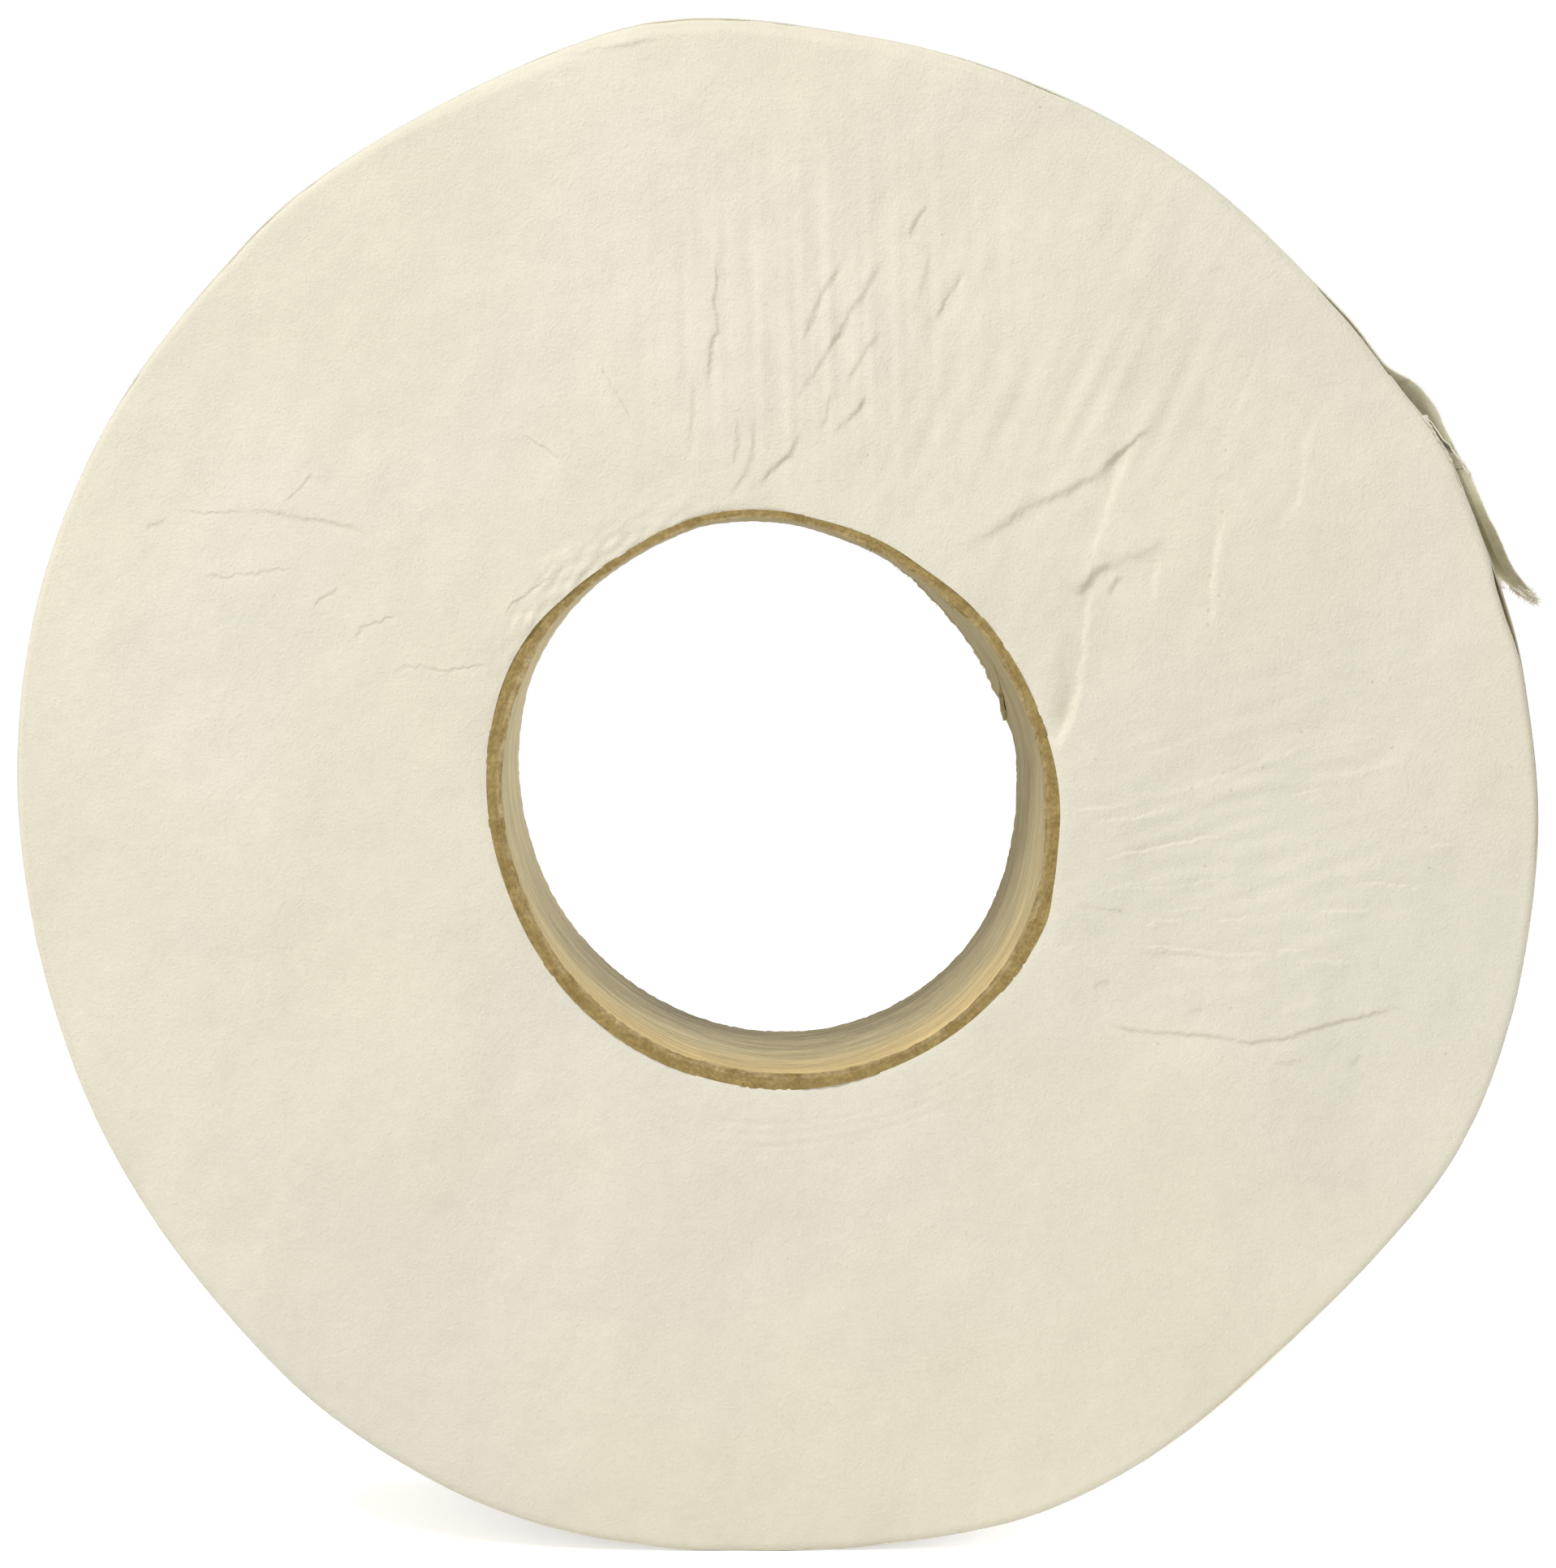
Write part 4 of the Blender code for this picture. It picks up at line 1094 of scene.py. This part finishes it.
def paper_grain_group():
    """Fine grain, mottling and specks of uncoated paper, as a tone about 1 and a height."""
    name = "Paper Grain"
    if name in bpy.data.node_groups:
        return bpy.data.node_groups[name]
    tree = bpy.data.node_groups.new(name, "ShaderNodeTree")
    tree.interface.new_socket("Vector", in_out="INPUT", socket_type="NodeSocketVector")
    for way, sockets in (("INPUT", ("Mottle", "Specks")), ("OUTPUT", ("Tone", "Height"))):
        for socket in sockets:
            tree.interface.new_socket(socket, in_out=way, socket_type="NodeSocketFloat")
    nodes = NodeTree(tree)
    given = nodes.add("NodeGroupInput").outputs
    result = nodes.add("NodeGroupOutput").inputs
    fine = nodes.noise(given["Vector"], scale=2600.0, detail=2.0)
    pulp = nodes.noise(given["Vector"], scale=420.0, detail=4.0, roughness=0.6)
    cloud = nodes.noise(given["Vector"], scale=55.0, detail=3.0)
    speck = nodes.add("ShaderNodeTexVoronoi")
    nodes.put(speck.inputs["Vector"], given["Vector"])
    nodes.put(speck.inputs["Scale"], 130.0)
    dot = nodes.span(speck.outputs["Distance"], 0.012, 0.028, 1.0, 0.0)
    chosen = nodes.add("ShaderNodeSeparateColor")
    nodes.put(chosen.inputs[0], speck.outputs["Color"])
    dot = nodes.math("MULTIPLY", dot, nodes.math("GREATER_THAN", chosen.outputs[0], 0.62))
    dot = nodes.math("MULTIPLY", dot, given["Specks"])
    uneven = nodes.math("ADD", nodes.math("MULTIPLY", fine, 0.5), nodes.math("MULTIPLY", pulp, 0.8))
    uneven = nodes.math("ADD", uneven, cloud)
    uneven = nodes.math("SUBTRACT", uneven, 1.15)
    tone = nodes.math("MULTIPLY_ADD", uneven, given["Mottle"], 1.0)
    nodes.put(result["Tone"], nodes.math("SUBTRACT", tone, dot))
    nodes.put(result["Height"], nodes.math("ADD", nodes.math("MULTIPLY", fine, 0.7), pulp))
    return tree


def start_material(name, roughness):
    """An empty material with its shader, and the object's own coordinates."""
    material = bpy.data.materials.new(name)
    material.use_nodes = True
    nodes = NodeTree(material.node_tree)
    shader = material.node_tree.nodes["Principled BSDF"]
    shader.inputs["Roughness"].default_value = roughness
    shader.inputs["Specular IOR Level"].default_value = PAPER_SPECULAR
    place = nodes.add("ShaderNodeTexCoord").outputs["Object"]
    return material, nodes, shader, place


def bump(nodes, shader, height, distance):
    """Roughen a shader's surface by a height, up to this distance."""
    node = nodes.add("ShaderNodeBump")
    nodes.put(node.inputs["Strength"], 1.0)
    nodes.put(node.inputs["Distance"], distance)
    nodes.put(node.inputs["Height"], height)
    nodes.put(shader.inputs["Normal"], node.outputs["Normal"])


def grain(nodes, place, mottle, specks):
    """Tone and height of the paper's grain, with this much mottling and this dark specks."""
    node = nodes.add("ShaderNodeGroup", node_tree=paper_grain_group())
    nodes.put(node.inputs["Vector"], place)
    nodes.put(node.inputs["Mottle"], mottle)
    nodes.put(node.inputs["Specks"], specks)
    return node.outputs["Tone"], node.outputs["Height"]


def wound_paper_material():
    """The pressed edges of hundreds of turns: smooth cream with grain, specks, and dirt and painted shade in
    the folds and along the rim.
    """
    look = bpy.context.scene.tape_paper
    material, nodes, shader, place = start_material("wound_paper_edges", roughness=0.92)
    tone, height = grain(nodes, place, mottle=0.12, specks=0.26)
    fold = nodes.attribute("fold_shade")
    rim = nodes.attribute("rim_distance")
    warm = nodes.noise(place, scale=16.0, detail=2.0)
    colour = nodes.mix(nodes.span(warm, 0.35, 0.65), look.colour, look.warm_and_lit_colour)
    # An uneven darker band just inside the rim: stain and painted shade of the outer turns' edges
    groove = nodes.math("ABSOLUTE", nodes.math("SUBTRACT", rim, 0.75))
    stain_and_shade = nodes.math("MULTIPLY", nodes.span(groove, 0.0, 0.5, 0.28, 0.0), nodes.noise(place, scale=90.0))
    colour = nodes.mix(stain_and_shade, colour, look.rim_stain_and_shade_colour)
    # Dirt and painted shade in the folds, painted shade along the rim, and the dark specks
    colour = nodes.mix(nodes.span(fold, 0.0, 4.0, 0.0, 0.5), colour, look.shade_colour)
    nodes.put(shader.inputs["Base Color"], nodes.toned(colour, tone))
    turns = nodes.noise(nodes.stretched(place, 90.0, 0.0, 90.0), scale=1.0, detail=2.0)
    bump(nodes, shader, nodes.math("MULTIPLY_ADD", turns, 0.2, height), distance=0.16 * MM)
    return material


def loose_paper_material(name, lets_through, colour):
    """The flat side of the tape: fibrous, with painted shade near its edges, torn where it is handled, and
    thin enough for light.
    """
    look = bpy.context.scene.tape_paper
    material, nodes, shader, place = start_material(name, roughness=0.9)
    shader.inputs["Subsurface Weight"].default_value = lets_through
    shader.inputs["Subsurface Radius"].default_value = (1.0, 0.95, 0.75)
    shader.inputs["Subsurface Scale"].default_value = 1.0 * MM
    tone, height = grain(nodes, place, mottle=0.10, specks=0.15)
    cloud = nodes.noise(place, scale=60.0, detail=4.0, roughness=0.6)
    colour = nodes.mix(nodes.span(cloud, 0.3, 0.7), colour, look.colour)
    fibre = nodes.noise(nodes.stretched(place, 700.0, 160.0, 700.0), scale=1.0, detail=4.0, roughness=0.65)
    tone = nodes.math("ADD", tone, nodes.span(fibre, 0.3, 0.7, -0.05, 0.05))
    outward = nodes.attribute("outward")
    colour = nodes.mix(nodes.math("MULTIPLY", outward, 0.8), colour, look.tail_back_colour)
    # Painted shade where the tail and the loose turn's edge lie in shadow
    soiled = nodes.attribute("soiled")
    colour = nodes.mix(nodes.math("MULTIPLY", soiled, 0.95), colour, look.painted_shade_colour)
    torn = nodes.attribute("torn")
    colour = nodes.mix(nodes.span(nodes.math("MULTIPLY", torn, fibre), 0.1, 0.5), colour, look.pulp_colour)
    nodes.put(shader.inputs["Base Color"], nodes.toned(colour, tone))
    bump(nodes, shader, nodes.math("ADD", height, fibre), distance=0.06 * MM)
    return material


def torn_fibre_material():
    """Pale pulp where the paper is torn."""
    look = bpy.context.scene.tape_paper
    material, nodes, shader, place = start_material("torn_fibres", roughness=0.95)
    cloud = nodes.noise(place, scale=900.0, detail=3.0)
    nodes.put(shader.inputs["Base Color"], nodes.mix(cloud, look.loose_colour, look.pulp_colour))
    bump(nodes, shader, cloud, distance=0.05 * MM)
    return material


def liner_material():
    """The core's inside: grey-brown board with fine streaks round it, with painted light, paler and warmer,
    near the front below, and painted shade deeper in below.
    """
    look = bpy.context.scene.tape_core
    material, nodes, shader, place = start_material("liner_board", roughness=0.85)
    streak = nodes.noise(nodes.stretched(place, 110.0, 1900.0, 110.0), scale=1.0, detail=6.0, roughness=0.68)
    broad = nodes.noise(nodes.stretched(place, 40.0, 260.0, 40.0), scale=1.0, detail=4.0, roughness=0.6)
    fine = nodes.noise(place, scale=1400.0, detail=3.0)
    axes = nodes.axes(place)
    # Painted light: the lower wall is paler and warmer near the front
    front = nodes.span(axes["Y"], FRONT, FRONT + 30 * MM, 1.0, 0.0)
    below = nodes.span(axes["Z"], AXIS.z - 36 * MM, AXIS.z + 4 * MM, 1.0, 0.0)
    colour = nodes.mix(nodes.math("MULTIPLY", front, below), look.liner_colour, look.warm_and_lit_colour)
    tone = nodes.span(streak, 0.28, 0.72, 0.66, 1.30)
    tone = nodes.math("ADD", tone, nodes.span(broad, 0.3, 0.7, -0.1, 0.1))
    tone = nodes.math("ADD", tone, nodes.span(fine, 0.3, 0.7, -0.05, 0.05))
    scratch = nodes.noise(nodes.stretched(place, 70.0, 3600.0, 70.0), scale=1.0, detail=3.0, roughness=0.5)
    tone = nodes.math("ADD", tone, nodes.span(scratch, 0.58, 0.72, 0.0, -0.35))
    # Painted shade: the lower wall darkens deeper in
    deep = nodes.math("MULTIPLY", nodes.span(axes["Y"], FRONT + 8 * MM, -FRONT, 0.0, -0.3), below)
    tone = nodes.math("ADD", tone, deep)
    nodes.put(shader.inputs["Base Color"], nodes.toned(colour, tone))
    bump(nodes, shader, nodes.math("ADD", streak, nodes.math("MULTIPLY", fine, 0.4)), distance=0.10 * MM)
    return material


def kraft_material(name, scale, dark, pale):
    """Brown board, with fibres and the lines of its layers in its cut edge."""
    material, nodes, shader, place = start_material(name, roughness=0.95)
    cloud = nodes.noise(place, scale=420.0 * scale, detail=3.0)
    fibre = nodes.noise(place, scale=2100.0 * scale, detail=4.0, roughness=0.65)
    axes = nodes.axes(place)
    rise = nodes.math("SUBTRACT", axes["Z"], AXIS.z)
    polar = nodes.add("ShaderNodeCombineXYZ")
    across = axes["X"]
    squares = nodes.math("ADD", nodes.math("MULTIPLY", across, across), nodes.math("MULTIPLY", rise, rise))
    nodes.put(polar.inputs["X"], nodes.math("MULTIPLY", nodes.math("SQRT", squares), 1500.0))
    nodes.put(polar.inputs["Y"], nodes.math("MULTIPLY", nodes.math("ARCTAN2", across, rise), 8.0))
    layer = nodes.noise(polar.outputs[0], scale=1.0, detail=3.0, roughness=0.6)
    colour = nodes.mix(nodes.span(nodes.math("ADD", cloud, layer), 0.7, 1.3), dark, pale)
    nodes.put(shader.inputs["Base Color"], nodes.toned(colour, nodes.span(fibre, 0.25, 0.75, 0.75, 1.22)))
    bump(nodes, shader, nodes.math("ADD", fibre, layer), distance=0.12 * MM)
    return material


def backdrop_material():
    """A white floor: lit and shadowed like paper, and lifted to white where the camera sees it."""
    look = bpy.context.scene.tape_stage
    material, nodes, shader, _ = start_material("backdrop", roughness=0.95)
    shader.inputs["Base Color"].default_value = (*look.floor_colour, 1.0)
    shader.inputs["Emission Color"].default_value = (1.0, 1.0, 1.0, 1.0)
    nodes.put(shader.inputs["Emission Strength"], nodes.math("MULTIPLY", nodes.seen(), look.floor_lift))
    return material


def light_world():
    """Even light from all round, which the camera sees as white."""
    look = bpy.context.scene.tape_stage
    world = bpy.data.worlds.new("studio")
    bpy.context.scene.world = world
    world.use_nodes = True
    nodes = NodeTree(world.node_tree)
    sky = world.node_tree.nodes["Background"]
    sky.inputs["Color"].default_value = (1.0, 1.0, 1.0, 1.0)
    strength = nodes.math("MULTIPLY_ADD", nodes.seen(), 1.0 - look.sky_strength, look.sky_strength)
    nodes.put(sky.inputs["Strength"], strength)


def add_lamp(name, place, size, power):
    """A round soft lamp at a place, which shines at the roll's axis."""
    lamp = bpy.data.lights.new(name, "AREA")
    lamp.energy = power
    lamp.shape = "DISK"
    lamp.size = size
    holder = bpy.data.objects.new(name, lamp)
    bpy.context.scene.collection.objects.link(holder)
    holder.location = place
    holder.rotation_euler = (AXIS - Vector(place)).to_track_quat("-Z", "Y").to_euler()


def colour_of(name, description, *default):
    """A colour that a user may change."""
    return FloatVectorProperty(name=name, description=description, default=default, subtype="COLOR")


class TapePaperSettings(bpy.types.PropertyGroup):
    thickness: FloatProperty(
        name="Paper Thickness", description="Thickness of the tape",
        default=0.0002, unit="LENGTH", precision=5,
    )
    fold_depth: FloatProperty(
        name="Fold Depth", description="Depth of the folds, as a share of the modelled one", default=1.0
    )
    colour: colour_of("Paper", "Pressed edges of the paper", 0.798, 0.760, 0.630)
    warm_and_lit_colour: colour_of("Warm Paper", "Warmer patches of the face", 0.803, 0.753, 0.607)
    # Colour of the band of stain and painted shade just inside the rim
    rim_stain_and_shade_colour: colour_of("Rim Stain and Shade", "Uneven stain and painted shade just inside the rim", 0.66, 0.62, 0.43)
    # Colour of the dirt and painted shade in the folds and along the rim, and of the specks
    shade_colour: colour_of("Fold Dirt and Shade", "Dirt and painted shade in the folds and along the rim, and specks", 0.52, 0.47, 0.34)
    loose_colour: colour_of("Loose Paper", "Flat side of the tape", 0.77, 0.705, 0.52)
    tail_colour: colour_of("Tail", "Flat side of the torn end", 0.73, 0.69, 0.55)
    tail_back_colour: colour_of("Tail Back", "Outer side of the torn end", 0.90, 0.775, 0.50)
    pulp_colour: colour_of("Torn Pulp", "Fibres of torn edges", 0.86, 0.84, 0.76)
    # Colour of the painted shade on the loose paper
    painted_shade_colour: colour_of("Shaded Paper", "Painted shade near the edges of the torn end and the loose turn", 0.24, 0.225, 0.175)


class TapeCoreSettings(bpy.types.PropertyGroup):
    lap: FloatProperty(
        name="Lap", description="Degrees by which the liner's end laps over its start", default=3.0
    )
    liner_colour: colour_of("Liner", "Grey-brown inside of the core", 0.56, 0.485, 0.30)
    # Colour of the painted light on the liner near the front, below
    warm_and_lit_colour: colour_of("Lit Liner", "Painted light: paler, warmer liner near the front below", 0.75, 0.585, 0.29)
    edge_colour: colour_of("Liner Edge", "Paler cut edge of the liner", 0.50, 0.385, 0.20)
    kraft_colour: colour_of("Kraft", "Brown board of the plies", 0.295, 0.205, 0.070)
    kraft_pale_colour: colour_of("Pale Kraft", "Paler patches of the board", 0.40, 0.295, 0.115)


class TapeStageSettings(bpy.types.PropertyGroup):
    floor_colour: colour_of("Floor", "Colour of the floor and backdrop", 0.9, 0.9, 0.9)
    floor_lift: FloatProperty(
        name="Floor Lift", description="Light added to the floor where the camera sees it", default=0.6
    )
    sky_strength: FloatProperty(name="Sky", description="Strength of the even light", default=0.44)
    key_power: FloatProperty(
        name="Key Light", description="Power of the main lamp", default=8.3, unit="POWER"
    )
    fill_power: FloatProperty(
        name="Fill Light", description="Power of the weak lamp", default=5.0, unit="POWER"
    )
    camera_place: FloatVectorProperty(
        name="Camera", description="Camera's place from the roll's axis",
        default=(-0.00648, -0.52096, 0.03058), subtype="TRANSLATION", precision=5,
    )
    camera_tilt: FloatProperty(
        name="Camera Tilt", description="How far the camera looks down",
        default=math.radians(3.22), subtype="ANGLE",
    )
    camera_turn: FloatProperty(
        name="Camera Turn", description="How far the camera looks right",
        default=math.radians(0.82), subtype="ANGLE",
    )
    lens: FloatProperty(
        name="Lens", description="Focal length for a 36 mm sensor", default=82.4, unit="CAMERA"
    )


class TAPE_OT_wound_paper(bpy.types.Operator):
    """Build the wound body of the roll, whose faces show the pressed edges of its turns"""

    bl_idname = "tape_roll.wound_paper"
    bl_label = "Wound Paper"

    def execute(self, context):
        material = wound_paper_material()
        pieces = (
            add_winding("inner_turns", -1, (0.0, 0.24), 38, FRONT_ARCS, front_relief, material),
            add_winding("middle_turns", -1, (0.24, 0.50), 38, FRONT_ARCS, front_relief, material),
            add_winding("outer_turns", -1, (0.50, 1.0), 68, FRONT_ARCS, front_relief, material),
            add_winding("back_turns", 1, (0.0, 1.0), 72, BACK_ARCS, back_relief, material),
        )
        for piece in pieces:
            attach(piece, "roll")
            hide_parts("wound_tape")
        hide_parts("first_turn")
        return {"FINISHED"}


class TAPE_OT_loose_paper(bpy.types.Operator):
    """Build the loose outer turn and the torn tail, in three pieces that meet between its three folds"""

    bl_idname = "tape_roll.loose_paper"
    bl_label = "Loose Turn and Tail"

    def execute(self, context):
        look = context.scene.tape_paper
        turn_paper = loose_paper_material("loose_paper", 0.5, look.loose_colour)
        tail_paper = loose_paper_material("tail_paper", 1.0, look.tail_colour)
        path = strip_path()
        lengths, line = path
        lead = -TAIL_LEAD * MM
        turn = add_strip("loose_turn", path, lengths[0], lead, *TURN_GRID, no_tear, turn_paper)
        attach(turn, "roll")
        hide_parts("outer_turn")
        folds = []
        for hinge in HINGES.values():
            apart = np.hypot(line[:, 0] + AXIS.x - hinge.x, line[:, 1] + AXIS.z - hinge.z)
            folds.append(lengths[np.argmin(np.where(lengths > -2 * MM, apart, 1.0))])
        ends = [lead, (folds[0] + folds[1]) / 2, (folds[1] + folds[2]) / 2, lengths[-1]]
        for i, node in enumerate(TAIL_NODES):
            tear = tip_tear if node == "tail_tip" else no_tear
            steps = round((ends[i + 1] - ends[i]) / (TAIL_STEP * MM))
            span = (ends[i], ends[i + 1])
            piece = add_strip(f"paper_{node}", path, *span, steps, TAIL_ROWS, tear, tail_paper)
            reach = np.array((folds[i] - FOLD_REACH * MM, folds[i] + FOLD_REACH * MM))
            start, end = strip_points(path, reach, np.full(2, WIDTH / 2), 0.0)
            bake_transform(piece)
            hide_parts(node)
        return {"FINISHED"}


class TAPE_OT_torn_fibres(bpy.types.Operator):
    """Build the sliver, the ribbon and the fibres that stand out where the paper is torn"""

    bl_idname = "tape_roll.torn_fibres"
    bl_label = "Torn Sliver and Fibres"

    def execute(self, context):
        material = torn_fibre_material()
        path = strip_path()
        layer = add_torn_layer(path, material)
        ribbon = add_edge_ribbon(material)
        draw = np.random.default_rng(61)
        # All along the torn end, most of them near its front corner
        across = np.concatenate((draw.uniform(0.2, 7.0, 230), draw.uniform(0.3, 52.0, 90)))
        roots = tip_fibres(path, across, 0.0, (1.0, 0.3))
        # A crown round that corner
        across, short = draw.uniform((0.0, 0.0), (1.6, 2.8), (360, 2)).T
        roots += tip_fibres(path, across, short, (0.4, 0.9))
        tip = add_fibres("tail_fibres", roots, material, seed=62, length=1.2 * MM, spread=0.5)
        # A fringe at the upper end of the sliver
        tail = LAYER_SPAN[0] + LAYER_SPAN[1] - draw.uniform(0.0, 2.5, 40) ** 1.5
        rises = knots(LAYER_RISE[2:], tail) * MM
        roots = strip_fibres(path, tail * MM, np.full(40, 0.2 * MM), rises, (1.0, 0.5))
        fringe = add_fibres("layer_fibres", roots, material, seed=63, length=1.2 * MM, spread=0.5)
        for piece, body in ((layer, "tail_flap"), (tip, "tail_tip"), (fringe, "tail_flap"), (ribbon, "roll")):
            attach(piece, body)
        return {"FINISHED"}


class TAPE_OT_core(bpy.types.Operator):
    """Build the three board plies of the core, with a lapped seam and loose fibres in the bore"""

    bl_idname = "tape_roll.core"
    bl_label = "Board Core"

    def execute(self, context):
        look = context.scene.tape_core
        kraft = kraft_material("kraft_board", 0.6, look.kraft_colour, look.kraft_pale_colour)
        edge = kraft_material("kraft_cut_edge", 1.0, look.kraft_colour, look.kraft_pale_colour)
        pale_edge = kraft_material("liner_cut_edge", 1.0, look.kraft_colour, look.edge_colour)
        plies = (
            ("liner_ply", 48.0, look.lap, liner_material(), pale_edge, "core_liner_ply", "liner_board"),
            ("middle_ply", 168.0, 0.0, kraft, edge, "core_middle_ply", "kraft_board"),
            ("outer_ply", 288.0, 0.0, kraft, edge, "core_outer_ply", "kraft_board"),
        )
        for order, (name, seam, lap, material, cut, node, slot) in enumerate(plies):
            piece = add_ply(name, order, seam, lap, material, cut)
            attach(piece, "roll")
            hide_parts(node)
        # Fibres along the frayed far edge of the bore, and two tufts at its front edge
        draw = np.random.default_rng(81)
        angle = np.concatenate([
            draw.uniform(14.0, 60.0, 70),
            draw.normal(68.4, 1.6, 12),
            draw.normal(48.0, 1.2, 12),
        ])
        depth = np.concatenate((WIDTH - draw.uniform(0.1, 0.8, 70) * MM, np.full(24, 0.4 * MM)))
        places = round_axis(angle, core_wall(angle, depth)[0], FRONT + depth)
        turned = np.radians(angle)
        inward = np.column_stack((-np.cos(turned), np.sign(depth - WIDTH / 2) * 0.4, -np.sin(turned)))
        roots = list(zip(places, inward))
        frayed = add_fibres("bore_fibres", roots, kraft, seed=82, length=0.9 * MM, spread=0.7)
        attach(frayed, "roll")
        return {"FINISHED"}


class TAPE_OT_stage(bpy.types.Operator):
    """Set up the white floor, the lamps and the camera"""

    bl_idname = "tape_roll.stage"
    bl_label = "Stage"

    def execute(self, context):
        look = context.scene.tape_stage
        bm = bmesh.new()
        bmesh.ops.create_grid(bm, x_segments=1, y_segments=1, size=FLOOR_REACH)
        bmesh.ops.translate(bm, verts=bm.verts, vec=(0.0, 0.0, -FLOOR_DROP))
        floor = add_object("floor", bm, backdrop_material())
        light_world()
        add_lamp("key_light", *KEY_LIGHT, look.key_power)
        add_lamp("fill_light", *FILL_LIGHT, look.fill_power)
        camera = bpy.data.cameras.new("camera")
        camera.lens = look.lens
        camera.sensor_width = 36.0
        holder = bpy.data.objects.new("camera", camera)
        context.scene.collection.objects.link(holder)
        holder.location = AXIS + Vector(look.camera_place)
        holder.rotation_euler = (math.pi / 2 - look.camera_tilt, 0.0, -look.camera_turn)
        context.scene.camera = holder
        context.scene.view_settings.view_transform = "Standard"
        return {"FINISHED"}


class TAPE_PT_panel(bpy.types.Panel):
    """Sizes, colours and pieces of the tape roll"""

    bl_label = "Tape Roll"
    bl_idname = "TAPE_PT_panel"
    bl_space_type = "VIEW_3D"
    bl_region_type = "UI"
    bl_category = "Tape Roll"

    def draw(self, context):
        scene = context.scene
        for settings in (scene.tape_paper, scene.tape_core, scene.tape_stage):
            box = self.layout.box()
            for name in settings.bl_rna.properties.keys():
                if name not in ("rna_type", "name"):
                    box.prop(settings, name)
        for operator in PIECES:
            self.layout.operator(operator.bl_idname)


PIECES = (TAPE_OT_stage, TAPE_OT_wound_paper, TAPE_OT_loose_paper, TAPE_OT_torn_fibres, TAPE_OT_core)
SETTINGS = {
    "tape_paper": TapePaperSettings,
    "tape_core": TapeCoreSettings,
    "tape_stage": TapeStageSettings,
}


def register():
    for item in (*SETTINGS.values(), *PIECES, TAPE_PT_panel):
        bpy.utils.register_class(item)
    for name, group in SETTINGS.items():
        setattr(bpy.types.Scene, name, PointerProperty(type=group))


def unregister():
    for name in SETTINGS:
        delattr(bpy.types.Scene, name)
    for item in (TAPE_PT_panel, *reversed(PIECES), *reversed(SETTINGS.values())):
        bpy.utils.unregister_class(item)


def main():
    register()
    bpy.ops.tape_roll.stage()
    bpy.ops.tape_roll.wound_paper()
    bpy.ops.tape_roll.loose_paper()
    bpy.ops.tape_roll.torn_fibres()
    bpy.ops.tape_roll.core()


if __name__ == "__main__":
    main()
